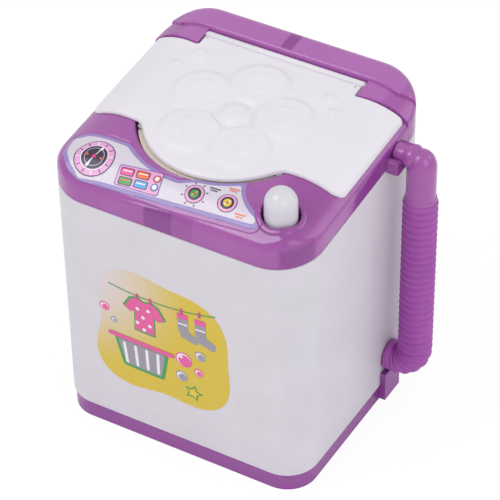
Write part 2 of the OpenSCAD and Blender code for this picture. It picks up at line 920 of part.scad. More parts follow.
// Stop inside the front wall, seen through the clear plastic as a dark patch
module front_stop() {
  intersection() {
    translate([stop_x - stop_w / 2, front_y, seam_z + 0.4])
      cube([stop_w, wall + stop_t, stop_h]);
    frame_block(wall / 2);
  }
}

// Frame of one tub screw: on the flange, pointing up
module tub_screw_axis(a) {
  r = (tub_open_r + recess_r) / 2;
  on_seam()
    translate([r * cos(a), along(tub_y, flange_v) + r * sin(a), flange_v])
      children();
}

module tub_boss(a) {
  tub_screw_axis(a)
    translate([0, 0, -tub_boss_l])
      cylinder(r = small_screw_r + 1, h = tub_boss_l - wall / 2);
}

module frame_screws() {
  color("silver")
    for (p = frame_posts)
      translate([p[0], p[1], seam_at(p[1]) - ear_drop - ear_t - screw_head_t])
        tapping_screw(screw_r, screw_l, screw_head_r, screw_head_t);
}

// Plan of the lid: sides, round nose and the tab between the hinge blocks
module lid_plan() {
  half = lid_w / 2;
  notch_x = sqrt(lid_nose_r * lid_nose_r - pow(lid_side_y + 2.5 + tub_y, 2));
  block_slope = 4 / (crown_half - crown_flat / 2);
  rear = block_y - lid_gap;
  rear_side = rear + block_slope * (half - crown_flat / 2);
  tab_y = bar_y - lid_gap - barrel_r;
  translate([0, tub_y])
    circle(r = lid_nose_r);
  for (s = [-1, 1])
    polygon([[0, -lid_side_y], [s * notch_x, -lid_side_y - 2.5], [s * (half - 3), -lid_side_y],
        [s * (half - 0.9), -lid_side_y + 0.9], [s * half, -lid_side_y + 3],
        [s * half, rear_side - 2], [s * (half - 1), rear_side - 0.6], [s * (half - 3), rear_side - 0.55],
        [s * hinge_half, rear], [s * hinge_half, tab_y], [0, tab_y]]);
}

// Rounded bump of the relief, a dome of radius r and height h on the lid
module dome(x, y, r, h) {
  ball = (r * r + h * h) / (2 * h);
  on_seam()
    translate([x, along(y, top_h), top_h])
      intersection() {
        translate([0, 0, h - ball])
          sphere(r = ball);
        translate([0, 0, -0.8])
          cylinder(r = r + 0.2, h = h + 2);
      }
}

module lid() {
  ring_r = tub_r - 0.6;
  color("#DEDAE4") {
    union() {
      intersection() {
        translate([0, 0, seam_z])
          linear_extrude(50)
            lid_plan();
        difference() {
          crown_block(top_h);
          crown_block(deck_h + fit_gap);
        }
      }
      hinge_axis()
        translate([0, 0, -hinge_half])
          cylinder(r = barrel_r, h = 2 * hinge_half);
      hinge_axis()
        translate([0, 0, -hinge_half - pin_l])
          cylinder(r = pin_r, h = 2 * (hinge_half + pin_l));
      // Ring below the lid that drops into the mouth of the tub
      on_seam()
        translate([0, along(tub_y, deck_h), deck_h - 1.6])
          difference() {
            cylinder(r = ring_r, h = 2.6);
            translate([0, 0, -cut])
              cylinder(r = ring_r - 1.2, h = 2.6 + 2 * cut);
          }
      for (k = [0:petals - 1])
        let (a = 90 + 360 * k / petals)
          dome(petal_reach * cos(a), relief_y + petal_reach * sin(a), petal_r, relief_h);
      dome(0, relief_y, petal_r * 0.62, relief_h + 0.9);
      for (b = bubbles)
        dome(b[0], b[1], b[2], b[2] / 4);
    }
  }
}

module power_button() {
  low = collar_z - 0.1 - button_flange_t;
  color("#E9E7EC")
    translate([button_x, button_y, 0])
      difference() {
        union() {
          rotate_extrude() {
            translate([0, low])
              square([button_r, button_z - low]);
            translate([0, button_z])
              intersection() {
                circle(r = button_r);
                square([button_r + 1, button_r + 1]);
              }
          }
          translate([0, 0, low])
            cylinder(r = button_flange_r, h = button_flange_t);
        }
        translate([0, 0, low - cut])
          cylinder(r = button_r - button_wall, h = seat_z - low + cut);
      }
}

module button_spring() {
  low = switch_z + switch_t + spring_play;
  high = seat_z - spring_play;
  color("#C9CCCF")
    translate([button_x, button_y, low])
      coil(spring_r, spring_r, high - low, 5, spring_wire);
}

module switch_base() {
  color("#3A3A3E")
    difference() {
      translate([switch_posts[0][0] - 3, button_y - 5.6, switch_z])
        cube([switch_w, switch_d, switch_t]);
      // Kept clear of the tub
      translate([0, tub_y, switch_z - cut])
        cylinder(r = tub_r + tub_wall + fit_gap, h = switch_t + 2 * cut);
      for (p = switch_posts)
        translate([p[0], p[1], switch_z - cut])
          cylinder(r = small_screw_r + 0.2, h = switch_t + 2 * cut);
    }
}

// Copper leaf that the flange of the button presses down
module switch_contact() {
  x0 = switch_posts[0][0] + 3;
  z0 = switch_z + switch_t + touch_gap / 2;
  tip = collar_z - button_flange_t - button_travel - 1.2;
  color("#B5813A")
    translate([0, button_y - 4, 0])
      rotate([90, 0, 0])
        linear_extrude(leaf_w)
          polygon([[x0, z0], [x0 + leaf_foot, z0], [button_x, tip], [button_x + leaf_tip, tip],
              [button_x + leaf_tip, tip + leaf_t], [button_x - 0.2, tip + leaf_t],
              [x0 + leaf_foot - 0.2, z0 + leaf_t], [x0, z0 + leaf_t]]);
}

module switch_screws() {
  color("silver")
    for (p = switch_posts)
      translate([p[0], p[1], switch_z - small_head_t])
        tapping_screw(small_screw_r, switch_t + small_screw_l - screw_tip, small_head_r, small_head_t);
}

module wash_tub() {
  out_r = tub_r + tub_wall;
  color("#E4DFD2") {
    difference() {
      union() {
        intersection() {
          translate([0, tub_y, tub_z])
            cylinder(r = out_r, h = 90);
          below_seam(flange_v + flange_t / 2);
        }
        on_seam()
          translate([0, along(tub_y, flange_v), flange_v + 0.02])
            cylinder(r = out_r + tub_flange, h = flange_t);
        // Boss of the shaft seal, posts of the motor bracket and the nipple of the drain
        translate([0, tub_y, tub_z - seal_boss_h])
          cylinder(r = seal_r + 1.6, h = seal_boss_h + 0.5);
        for (s = [-1, 1])
          translate([s * bracket_x, tub_y, motor_top + bracket_t])
            cylinder(r = small_screw_r + 1.6, h = tub_z - motor_top - bracket_t + 0.5);
        translate([drain_x, drain_y, tub_z - nipple_l])
          cylinder(r = nipple_r, h = nipple_l + 0.5);
      }
      translate([0, tub_y, tub_z + tub_wall])
        cylinder(r = tub_r, h = 90);
      translate([0, tub_y, tub_z - seal_boss_h - cut])
        cylinder(r = seal_r + 0.05, h = seal_t + cut);
      translate([0, tub_y, tub_z - seal_boss_h - cut])
        cylinder(r = shaft_r + 0.4, h = seal_boss_h + tub_wall + 2 * cut);
      for (s = [-1, 1])
        translate([s * bracket_x, tub_y, motor_top])
          cylinder(r = small_screw_r + pilot_gap, h = bracket_t + small_screw_l - 0.6);
      translate([drain_x, drain_y, tub_z - nipple_l - cut])
        cylinder(r = nipple_r - 0.9, h = nipple_l + tub_wall + 2 * cut);
      for (a = tub_screw_angles)
        tub_screw_axis(a)
          cylinder(r = small_screw_r + 0.2, h = 4);
    }
  }
}

module tub_screws() {
  color("silver")
    for (a = tub_screw_angles)
      tub_screw_axis(a)
        translate([0, 0, flange_t + 0.02 + small_head_t])
          rotate([180, 0, 0])
            tapping_screw(small_screw_r, small_screw_l, small_head_r, small_head_t);
}

module shaft_seal() {
  color("#2E2E30")
    translate([0, tub_y, tub_z - seal_boss_h])
      difference() {
        cylinder(r = seal_r, h = seal_t - 0.05);
        translate([0, 0, -cut])
          cylinder(r = shaft_r + 0.06, h = seal_t + 2 * cut);
      }
}

module impeller() {
  color("#E9E7EC")
    translate([0, tub_y, impeller_z])
      difference() {
        union() {
          cylinder(r = impeller_r, h = impeller_t);
          cylinder(r = hub_r, h = hub_h);
          intersection() {
            for (k = [0:vanes - 1])
              rotate([0, 0, 360 * k / vanes + 20])
                translate([0, -1.2, 0])
                  cube([impeller_r - 2, 2.4, impeller_t + vane_h]);
            translate([0, 0, -0.01])
              cylinder(r1 = impeller_r + 4, r2 = hub_r + 8, h = impeller_t + vane_h + 0.5);
          }
        }
        translate([0, 0, -cut])
          cylinder(r = shaft_r + 0.02, h = hub_h - 2 + cut);
      }
}

module motor_shaft() {
  low = motor_z - cap_t + 0.6;
  color("silver")
    translate([0, tub_y, low])
      cylinder(r = shaft_r, h = impeller_z + hub_h - 2.2 - low);
}

module motor_rotor() {
  color("#8A5A3A")
    translate([0, tub_y, motor_z + (motor_l - rotor_l) / 2])
      difference() {
        cylinder(r = rotor_r, h = rotor_l);
        translate([0, 0, -cut])
          cylinder(r = shaft_r + 0.02, h = rotor_l + 2 * cut);
        for (k = [0:2])
          rotate([0, 0, 120 * k])
            translate([3, -0.8, -cut])
              cube([4, 1.6, rotor_l + 2 * cut]);
      }
}

module can_section(inset) {
  intersection() {
    circle(r = motor_r - inset);
    square([2 * motor_r, motor_flat - 2 * inset], center = true);
  }
}

module motor_can() {
  color("#BFC3C6")
    translate([0, tub_y, motor_z])
      difference() {
        union() {
          linear_extrude(motor_l)
            can_section(0);
          translate([0, 0, motor_l - 0.01])
            cylinder(r = nose_boss_r, h = nose_boss_t);
        }
        translate([0, 0, -cut])
          linear_extrude(motor_l - can_wall + cut)
            can_section(can_wall);
        translate([0, 0, motor_l - 2])
          cylinder(r = shaft_r + 0.05, h = 6);
      }
}

module motor_cap() {
  color("#F2F0EA")
    translate([0, tub_y, motor_z]) {
      difference() {
        translate([0, 0, -cap_t])
          linear_extrude(cap_t)
            can_section(0.3);
        translate([0, 0, -cap_t + 0.6])
          cylinder(r = shaft_r + 0.05, h = cap_t);
      }
      for (s = [-1, 1])
        translate([s * lug_x - 0.25, -1.2, -cap_t - lug_drop])
          cube([0.5, 2.4, lug_drop + 0.2]);
    }
}

// Bracket under the tub: a plate on the motor and two walls along its flat sides
module motor_bracket() {
  grip_y = motor_flat / 2 + 0.1;
  color("#C9CCCF")
    translate([0, tub_y, motor_top])
      difference() {
        union() {
          translate([-bracket_x - 4, -grip_y - bracket_t, 0])
            cube([2 * bracket_x + 8, 2 * (grip_y + bracket_t), bracket_t]);
          for (s = [-1, 1])
            translate([-6, s > 0 ? grip_y : -grip_y - bracket_t, -bracket_grip])
              cube([12, bracket_t, bracket_grip + 0.5]);
        }
        translate([0, 0, -cut])
          cylinder(r = nose_boss_r + 0.1, h = bracket_t + 2 * cut);
        for (s = [-1, 1])
          translate([s * bracket_x, 0, -cut])
            cylinder(r = small_screw_r + 0.2, h = bracket_t + 2 * cut);
      }
}

module bracket_screws() {
  color("silver")
    for (s = [-1, 1])
      translate([s * bracket_x, tub_y, motor_top - small_head_t])
        tapping_screw(small_screw_r, small_screw_l, small_head_r, small_head_t);
}

// Straight run of a round tube or wire from p to q
module run(p, q, r) {
  d = q - p;
  length = norm(d);
  translate(p)
    rotate([0, acos(d[2] / length), atan2(d[1], d[0])])
      cylinder(r = r, h = length);
}

// Round tube along a list of points, its corners a little fuller than its runs
module route(points, r, joint) {
  for (k = [0:len(points) - 2])
    run(points[k], points[k + 1], r);
  for (k = [1:len(points) - 2])
    translate(points[k])
      sphere(r = r + joint);
}

module drain_pipe() {
  end_x = outlet_x - wall - pipe_lap;
  top = [drain_x, drain_y, tub_z - 0.6];
  turn = [drain_x, drain_y, drain_turn_z];
  over = [drain_side_x, hose_y, drain_turn_z];
  down = [drain_side_x, hose_y, outlet_z];
  out = [end_x, hose_y, outlet_z];
  color("#D9D9D2")
    difference() {
      route([top, turn, over, down, out], drain_r, drain_joint);
      route([top + [0, 0, 1], turn, over, down, out + [1, 0, 0]], drain_bore, drain_joint);
    }
}

// Outlet through the cabinet wall: a tube with a flange inside and the hose cuff outside
module outlet_spigot() {
  inner = outlet_x - wall;
  color(orchid)
    translate([0, hose_y, outlet_z])
      rotate([0, 90, 0])
        difference() {
          union() {
            translate([0, 0, inner - spigot_in])
              cylinder(r = outlet_r, h = bend_x - fit_gap - inner + spigot_in);
            translate([0, 0, inner - spigot_flange_t])
              cylinder(r = outlet_r + spigot_flange_w, h = spigot_flange_t - 0.05);
          }
          translate([0, 0, inner - spigot_in - cut])
            cylinder(r = outlet_r - pipe_wall, h = bend_x - inner + spigot_in + 2 * cut);
        }
}

// Stretch of the bent foot of the hose between two angles, with outer and inner radius
module bend_tube(outer, inner, from, to) {
  translate([bend_x, hose_y, bend_z])
    rotate([90, 0, 0])
      rotate([0, 0, from - 90])
        rotate_extrude(angle = to - from)
          translate([bend_axis_r, 0])
            difference() {
              circle(r = outer);
              circle(r = inner);
            }
}

// Ribbed bend of the hose with the smooth cuff on the outlet
module hose_bend() {
  step = 90 / bend_ribs;
  cuff_x = outlet_x + 0.5;
  color("#96469A")
    union() {
      bend_tube(groove_r, hose_bore, 0, 90);
      for (k = [0:bend_ribs - 1])
        bend_tube(rib_r, groove_r - 0.4, step * (k + 0.25), step * (k + 0.75));
      translate([cuff_x, hose_y, outlet_z])
        rotate([0, 90, 0])
          difference() {
            cylinder(r = cuff_r, h = bend_x - cuff_x);
            translate([0, 0, -cut])
              cylinder(r = hose_bore, h = bend_x - cuff_x + 2 * cut);
          }
    }
}

// Straight ribbed hose: every rib is a rounded swell, its bore is smooth
module drain_hose() {
  gap = 0.02;
  low = bend_z + gap;
  ribs = floor((hose_top_z - low) / rib_pitch);
  pitch = (hose_top_z - low) / ribs;
  swell = [[0.12, 0], [0.24, 0.75], [0.38, 1], [0.62, 1], [0.76, 0.75], [0.88, 0]];
  outer = [for (k = [0:ribs - 1], w = swell)
      [groove_r + (rib_r - groove_r) * w[1], low + pitch * (k + w[0])]];
  color("#96469A")
    translate([hose_x, hose_y, 0])
      rotate_extrude()
        polygon(concat([[hose_bore, low], [groove_r, low]], outer,
            [[groove_r, hose_top_z], [hose_bore, hose_top_z]]));
}

module round_end(r, low, top) {
  rotate_extrude() {
    translate([0, low])
      square([r, top - low]);
    translate([0, top])
      intersection() {
        circle(r = r);
        square([r + 1, r + 1]);
      }
  }
}

module hose_elbow() {
  arm_end = side_x + 0.4;
  color(orchid)
    translate([hose_x, hose_y, 0])
      difference() {
        union() {
          round_end(elbow_r, hose_top_z, elbow_top_z);
          translate([0, 0, hose_top_z - elbow_plug])
            cylinder(r = elbow_plug_r, h = elbow_plug + 0.01);
          translate([arm_end - hose_x, 0, arm_z])
            rotate([0, 90, 0])
              cylinder(r = arm_r, h = hose_x - arm_end);
        }
        round_end(elbow_plug_r - pipe_wall, hose_top_z - elbow_plug - 1, elbow_top_z - 0.4);
        translate([arm_end - hose_x - 1, 0, arm_z])
          rotate([0, 90, 0])
            cylinder(r = arm_r - pipe_wall, h = hose_x - arm_end + 1);
      }
}

module battery_wire() {
  color("#1F1F22") route(battery_wire_route, wire_r, wire_joint);
}

module switch_wire() {
  color("#C0332E") route(switch_wire_route, wire_r, wire_joint);
}

module motor_wire() {
  color("#C0332E") route(motor_wire_route, wire_r, wire_joint);
}

cabinet();
base_tray();
base_screws();
battery_door();
door_screw();
battery_cells();
contact_plates();
battery_springs();
top_frame();
frame_screws();
lid();
control_label();
front_label();
power_button();
button_spring();
switch_base();
switch_contact();
switch_screws();
wash_tub();
tub_screws();
shaft_seal();
impeller();
motor_shaft();
motor_rotor();
motor_can();
motor_cap();
motor_bracket();
bracket_screws();
drain_pipe();
outlet_spigot();
hose_bend();
drain_hose();
hose_elbow();
battery_wire();
switch_wire();
motor_wire();
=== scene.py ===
import math

import bmesh
import bpy
import numpy as np
from mathutils import Matrix, Vector
from mathutils.geometry import delaunay_2d_cdt


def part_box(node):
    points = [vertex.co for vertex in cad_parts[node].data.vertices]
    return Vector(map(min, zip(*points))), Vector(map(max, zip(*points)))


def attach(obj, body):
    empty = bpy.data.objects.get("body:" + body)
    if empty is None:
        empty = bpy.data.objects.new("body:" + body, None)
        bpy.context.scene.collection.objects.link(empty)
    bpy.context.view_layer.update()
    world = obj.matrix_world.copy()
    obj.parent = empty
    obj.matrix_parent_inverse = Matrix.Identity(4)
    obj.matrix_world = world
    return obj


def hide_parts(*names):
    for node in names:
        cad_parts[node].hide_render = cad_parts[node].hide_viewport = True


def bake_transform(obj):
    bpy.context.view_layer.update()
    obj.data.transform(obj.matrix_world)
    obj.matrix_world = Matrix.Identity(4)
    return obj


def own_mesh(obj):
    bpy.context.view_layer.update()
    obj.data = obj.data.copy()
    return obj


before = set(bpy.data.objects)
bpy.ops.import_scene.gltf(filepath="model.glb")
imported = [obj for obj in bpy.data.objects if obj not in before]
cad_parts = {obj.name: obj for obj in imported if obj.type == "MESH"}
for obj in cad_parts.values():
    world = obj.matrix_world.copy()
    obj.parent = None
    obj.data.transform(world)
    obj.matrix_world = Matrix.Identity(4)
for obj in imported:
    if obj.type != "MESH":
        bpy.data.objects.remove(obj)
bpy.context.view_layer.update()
scene = bpy.context.scene
mm = 0.001
print("frame loaded:", len(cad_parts), "nodes")

# Shapes are worked out in millimetres; addMesh turns them to metres.


# Camera at the photograph's viewing angle

photoView = {
    "azimuth": 30.49,      # degrees to the right of the front
    "elevation": 39.57,    # degrees above the table
    "roll": -0.69,
    "distance": 1046.2,
    "aimHeight": 65.86,
    "slideRight": 4.105,   # puts the object where the photograph has it
    "slideUp": 0.274,
    "lens": 198.6,
}


def placeCamera(view):
    az, el, roll = (math.radians(view[k]) for k in ("azimuth", "elevation", "roll"))
    back = Vector((math.sin(az) * math.cos(el), -math.cos(az) * math.cos(el), math.sin(el)))
    right = (-back).cross(Vector((0, 0, 1))).normalized()
    up = right.cross(-back)
    camRight = right * math.cos(roll) + up * math.sin(roll)
    camUp = up * math.cos(roll) - right * math.sin(roll)
    place = (Vector((0, 0, view["aimHeight"])) + back * view["distance"]
             + camRight * view["slideRight"] + camUp * view["slideUp"]) * mm
    camera = bpy.data.objects.new("photoCamera", bpy.data.cameras.new("photoCamera"))
    scene.collection.objects.link(camera)
    camera.matrix_world = Matrix((
        (camRight.x, camUp.x, back.x, place.x),
        (camRight.y, camUp.y, back.y, place.y),
        (camRight.z, camUp.z, back.z, place.z),
        (0, 0, 0, 1)))
    camera.data.sensor_width = 36
    camera.data.lens = view["lens"]
    camera.data.clip_start = 0.01
    scene.camera = camera


placeCamera(photoView)
print("camera placed")


# Colour and material helpers

def srgb(code):
    channels = [int(code[k:k + 2], 16) / 255 for k in (1, 3, 5)]
    return [c / 12.92 if c <= 0.04045 else ((c + 0.055) / 1.055) ** 2.4 for c in channels] + [1.0]


def addNode(tree, kind, settings=None, links=None):
    node = tree.nodes.new(kind)
    for name, value in (settings or {}).items():
        if isinstance(name, int) or name in node.inputs:
            node.inputs[name].default_value = value
        else:
            setattr(node, name, value)
    for socket, source in (links or {}).items():
        tree.links.new(source, node.inputs[socket])
    return node


def newMaterial(name, settings):
    material = bpy.data.materials.new(name)
    material.use_nodes = True
    tree = material.node_tree
    tree.nodes.clear()
    shader = addNode(tree, "ShaderNodeBsdfPrincipled", settings)
    addNode(tree, "ShaderNodeOutputMaterial", None, {"Surface": shader.outputs[0]})
    return material, tree, shader


def blendColours(tree, amount, first, second):
    # colours are sRGB codes or sockets
    mix = addNode(tree, "ShaderNodeMix", {"data_type": "RGBA"}, {0: amount})
    for place, colour in ((6, first), (7, second)):
        if isinstance(colour, str):
            mix.inputs[place].default_value = srgb(colour)
        else:
            tree.links.new(colour, mix.inputs[place])
    return mix.outputs[2]


def spread(tree, source, low, high, inLow=0.3, inHigh=0.7):
    return addNode(tree, "ShaderNodeMapRange",
                   {"From Min": inLow, "From Max": inHigh, "To Min": low, "To Max": high},
                   {"Value": source}).outputs[0]


def grain(tree, size, detail=3.0, stretch=(1, 1, 1)):
    # noise whose blotches are about size millimetres across
    point = addNode(tree, "ShaderNodeTexCoord").outputs["Object"]
    placed = addNode(tree, "ShaderNodeMapping", {"Scale": stretch}, {"Vector": point})
    return addNode(tree, "ShaderNodeTexNoise", {"Scale": 1 / (size * mm), "Detail": detail},
                   {"Vector": placed.outputs[0]}).outputs["Fac"]


def addBump(tree, shader, layers):
    # layers are (height socket, height in millimetres), the broad one first
    normal = None
    for source, height in layers:
        links = {"Height": source}
        if normal:
            links["Normal"] = normal
        normal = addNode(tree, "ShaderNodeBump", {"Distance": height * mm}, links).outputs[0]
    tree.links.new(normal, shader.inputs["Normal"])


def tinted(tree, look, size, detail=3.0):
    # a colour that wanders between the two tones of the look
    return blendColours(tree, spread(tree, grain(tree, size, detail), 0, 1), look["colour"], look["shade"])


def dress(tree, shader, look, colour, wear, layers):
    # wear is the noise that the roughness follows
    tree.links.new(colour, shader.inputs["Base Color"])
    tree.links.new(spread(tree, wear, *look["roughness"]), shader.inputs["Roughness"])
    addBump(tree, shader, layers)


plainPlastic = {"ior": 1.53, "glow": 0.0, "glowReach": (1, 1, 1), "glowScale": 1.5, "coat": 0.0, "mottle": 16,
                "ripple": 0.05, "skin": 0.004, "edges": False}


def mouldedPlastic(name, look):
    # Injection moulded plastic: a faint mottle in the colour, a fine skin from the mould
    # and a slow ripple where it shrank, which breaks up the highlights.
    look = {**plainPlastic, **look}
    material, tree, shader = newMaterial(name, {
        "IOR": look["ior"], "Subsurface Weight": look["glow"], "Subsurface Radius": look["glowReach"],
        "Subsurface Scale": look["glowScale"] * mm, "Coat Weight": look["coat"], "Coat Roughness": 0.08})
    colour = tinted(tree, look, look["mottle"])
    if "deep" in look:
        # painted shade: the thick attribute darkens the colour towards deep where ribs or a second wall stand behind
        # the see-through plastic, and below 0 it paints light, turning the colour towards pale
        thick = addNode(tree, "ShaderNodeAttribute", {"attribute_name": "thick"}).outputs["Fac"]
        colour = blendColours(tree, thick, colour, look["deep"])
        thin = addNode(tree, "ShaderNodeMath", {"operation": "MULTIPLY", 1: -1.0}, {0: thick})
        colour = blendColours(tree, thin.outputs[0], colour, look["pale"])
    layers = [(grain(tree, 14, 1.0), look["ripple"]), (grain(tree, 0.5, 2.0), look["skin"])]
    if look["edges"]:
        # the step round the bed of the label, drawn from its distance
        rim = addNode(tree, "ShaderNodeAttribute", {"attribute_name": "bedDistance"}).outputs["Fac"]
        layers.insert(0, (spread(tree, rim, 0, 1, -0.25, 0.25), 0.35))
    dress(tree, shader, look, colour, grain(tree, 4), layers)
    return material


def printedFilm(name, look):
    # Printed film: an even ink under a clear glossy layer, slightly wavy where it is stuck down.
    look = {"roughness": (0.28, 0.4), **look}
    material, tree, shader = newMaterial(name, {"IOR": 1.5, "Coat Weight": 0.3, "Coat Roughness": 0.12})
    colour = tinted(tree, look, 0.7, 2.0)
    if "fade" in look:
        # the print fades to a pale tone towards one corner
        point = addNode(tree, "ShaderNodeTexCoord").outputs["Object"]
        away = addNode(tree, "ShaderNodeVectorMath", {"operation": "DISTANCE", 1: [v * mm for v in look["fadeFrom"]]},
                       {0: point})
        amount = addNode(tree, "ShaderNodeMapRange",
                         {"interpolation_type": "SMOOTHSTEP", "From Min": look["fadeReach"][0] * mm,
                          "From Max": look["fadeReach"][1] * mm, "To Min": look["fadeMost"], "To Max": 0.0},
                         {"Value": away.outputs["Value"]})
        colour = blendColours(tree, amount.outputs[0], colour, look["fade"])
    dress(tree, shader, look, colour, grain(tree, 3), [(grain(tree, 9, 1.0), 0.03), (grain(tree, 0.6, 1.0), 0.002)])
    return material


def platedMetal(name, look):
    # Plated or drawn metal: fine lines along the way it was worked and small dull spots.
    material, tree, shader = newMaterial(name, {"Metallic": 1.0})
    lines = grain(tree, 0.35, 3.0, look.get("along", (1, 1, 0.1)))
    dress(tree, shader, look, tinted(tree, look, 1.2), lines, [(lines, 0.006)])
    return material


def softPlastic(name, look):
    # Rubber, wire insulation and soft tube: dull, a little dusty, with a coarse skin.
    material, tree, shader = newMaterial(name, {"IOR": 1.5, "Sheen Weight": 0.1})
    dress(tree, shader, look, tinted(tree, look, 2.5), grain(tree, 1.5), [(grain(tree, 0.3, 2.0), 0.01)])
    return material


whiteAbs = mouldedPlastic("whiteMouldedAbs", {  # the shell's satin white, slightly lilac in its shade
    "colour": "#DAD6DE", "shade": "#D5D1D9", "roughness": (0.4, 0.48)})
lidAbs = mouldedPlastic("softWhiteMouldedAbs", {  # the lid is whiter, and its relief shows softly
    "colour": "#E8E5EC", "shade": "#E4E1E8", "roughness": (0.38, 0.48)})
buttonAbs = mouldedPlastic("polishedWhiteAbs", {  # polished by fingers, with a small clear highlight
    "colour": "#DCD9E0", "shade": "#D6D3DB", "roughness": (0.2, 0.3), "ripple": 0.02})
clearPurple = {"ior": 1.58, "glow": 0.2, "glowReach": (1.0, 0.35, 1.0), "glowScale": 2.0, "coat": 0.2}
orchidStyrene = mouldedPlastic("orchidClearStyrene", {  # see-through and glossy, with painted shade over ribs and painted light on the bar and blocks
    **clearPurple, "colour": "#A557A6", "shade": "#9F50A1", "deep": "#86348C", "pale": "#BB76BF",
    "roughness": (0.13, 0.22), "edges": True, "ripple": 0.07})
orchidTrim = mouldedPlastic("orchidTrimStyrene", {  # the same plastic on the tray, the battery door and the outlet
    **clearPurple, "colour": "#95459B", "shade": "#904097", "roughness": (0.16, 0.26)})
orchidVinyl = mouldedPlastic("orchidSoftVinyl", {  # the blown hose: softer, a little duller and deeper
    **clearPurple, "colour": "#A950AE", "shade": "#A048A6", "roughness": (0.36, 0.44), "ior": 1.52,
    "glow": 0.25, "coat": 0.0, "ripple": 0.01})
creamPolypropylene = mouldedPlastic("creamPolypropylene", {  # waxy tub plastic, warm against the white lid
    "colour": "#E2D9C8", "shade": "#DCD2BF", "roughness": (0.35, 0.5), "glow": 0.15})
motorNylon = mouldedPlastic("naturalNylon", {  # the motor's end cap, a warm milky white
    "colour": "#E8E4D8", "shade": "#E0DBCC", "roughness": (0.4, 0.5)})
zincPlate = platedMetal("brightZincPlate", {  # screws: cool grey with a faint blue tone
    "colour": "#C6C9CC", "shade": "#B3B6BB", "roughness": (0.28, 0.42)})
nickelPlate = platedMetal("nickelPlatedSteel", {  # springs and contacts: slightly warm and bright
    "colour": "#CFCCC4", "shade": "#BDBAB2", "roughness": (0.18, 0.32)})
brightSteel = platedMetal("drawnBrightSteel", {  # motor can and shaft, drawn along their length
    "colour": "#C4C6C8", "shade": "#AEB1B4", "roughness": (0.22, 0.36)})
copperStrip = platedMetal("rolledCopperStrip", {  # contact leaf, warm enough to tint the gap round the button
    "colour": "#C98B4B", "shade": "#B2773A", "roughness": (0.25, 0.4)})
copperWire = platedMetal("varnishedCopperWire", {  # rotor winding: thin wire side by side under varnish
    "colour": "#B4693A", "shade": "#8E4E29", "roughness": (0.3, 0.45), "along": (1, 1, 4)})
sealRubber = softPlastic("nitrileRubber", {  # black seal, dull with a grey bloom
    "colour": "#1F1F21", "shade": "#2B2B2D", "roughness": (0.6, 0.75)})
blackWire = softPlastic("blackPvcSleeve", {"colour": "#18181A", "shade": "#222226", "roughness": (0.4, 0.55)})
redWire = softPlastic("redPvcSleeve", {"colour": "#B02420", "shade": "#9C1E1B", "roughness": (0.4, 0.55)})
milkyTube = softPlastic("milkySiliconeTube", {"colour": "#D8D8D0", "shade": "#CBCBC2", "roughness": (0.45, 0.6)})
paperBoard = softPlastic("phenolicBoard", {  # switch board: brown-black resin paper
    "colour": "#2F2721", "shade": "#3A3029", "roughness": (0.5, 0.6)})
cellJacket = printedFilm("greenCellFoil", {"colour": "#2F7F45", "shade": "#2A753F", "roughness": (0.22, 0.32)})
print("materials made")


# Studio: pale floor and plain soft light

studio = {
    "world": 0.72, "floor": "#F4F3F5", "floorHalf": 3.0, "floorGlow": 1.03, "floorShare": 0.9, "aim": 60,
    # each lamp: place and width in millimetres, power in watts
    "lamps": {"keyLamp": ((-480, -640, 1080), 620, 4.2), "fillLamp": ((860, -380, 620), 700, 1.8),
              "rearLamp": ((760, 700, 640), 600, 1.1)},
}


def buildStudio(look):
    world = bpy.data.worlds.new("plainStudio")
    scene.world = world
    world.use_nodes = True
    tree = world.node_tree
    tree.nodes.clear()
    path = addNode(tree, "ShaderNodeLightPath")
    seen = addNode(tree, "ShaderNodeMath", {"operation": "MAXIMUM"},
                   {0: path.outputs["Is Camera Ray"], 1: path.outputs["Is Transmission Ray"]})
    level = addNode(tree, "ShaderNodeMapRange", {"To Min": look["world"], "To Max": 1.0}, {"Value": seen.outputs[0]})
    light = addNode(tree, "ShaderNodeBackground", {"Color": (1, 1, 1, 1)}, {"Strength": level.outputs[0]})
    addNode(tree, "ShaderNodeOutputWorld", None, {"Surface": light.outputs[0]})
    for name, (place, size, power) in look["lamps"].items():
        lamp = bpy.data.lights.new(name, "AREA")
        lamp.energy = power
        lamp.size = size * mm
        obj = bpy.data.objects.new(name, lamp)
        scene.collection.objects.link(obj)
        obj.location = Vector(place) * mm
        obj.rotation_euler = (Vector((0, 0, look["aim"])) * mm - obj.location).to_track_quat("-Z", "Y").to_euler()
    floor = bpy.data.objects.new("studioFloor", bpy.data.meshes.new("studioFloor"))
    half = look["floorHalf"]
    corners = [(-half, -half, 0), (half, -half, 0), (half, half, 0), (-half, half, 0)]
    floor.data.from_pydata(corners, [], [(0, 1, 2, 3)])
    scene.collection.objects.link(floor)
    paper, tree, shader = newMaterial("whitePaperFloor", {"Base Color": srgb(look["floor"]), "Roughness": 0.9})
    glow = addNode(tree, "ShaderNodeEmission", {"Color": (1, 1, 1, 1), "Strength": look["floorGlow"]})
    path = addNode(tree, "ShaderNodeLightPath")
    part = addNode(tree, "ShaderNodeMath", {"operation": "MULTIPLY", 1: look["floorShare"]},
                   {0: path.outputs["Is Camera Ray"]})
    mixed = addNode(tree, "ShaderNodeMixShader", None, {0: part.outputs[0], 1: shader.outputs[0], 2: glow.outputs[0]})
    out = [n for n in tree.nodes if n.type == "OUTPUT_MATERIAL"][0]
    tree.links.new(mixed.outputs[0], out.inputs["Surface"])
    floor.data.materials.append(paper)
    scene.view_settings.view_transform = "Standard"


buildStudio(studio)
print("studio built")


# Mesh helpers

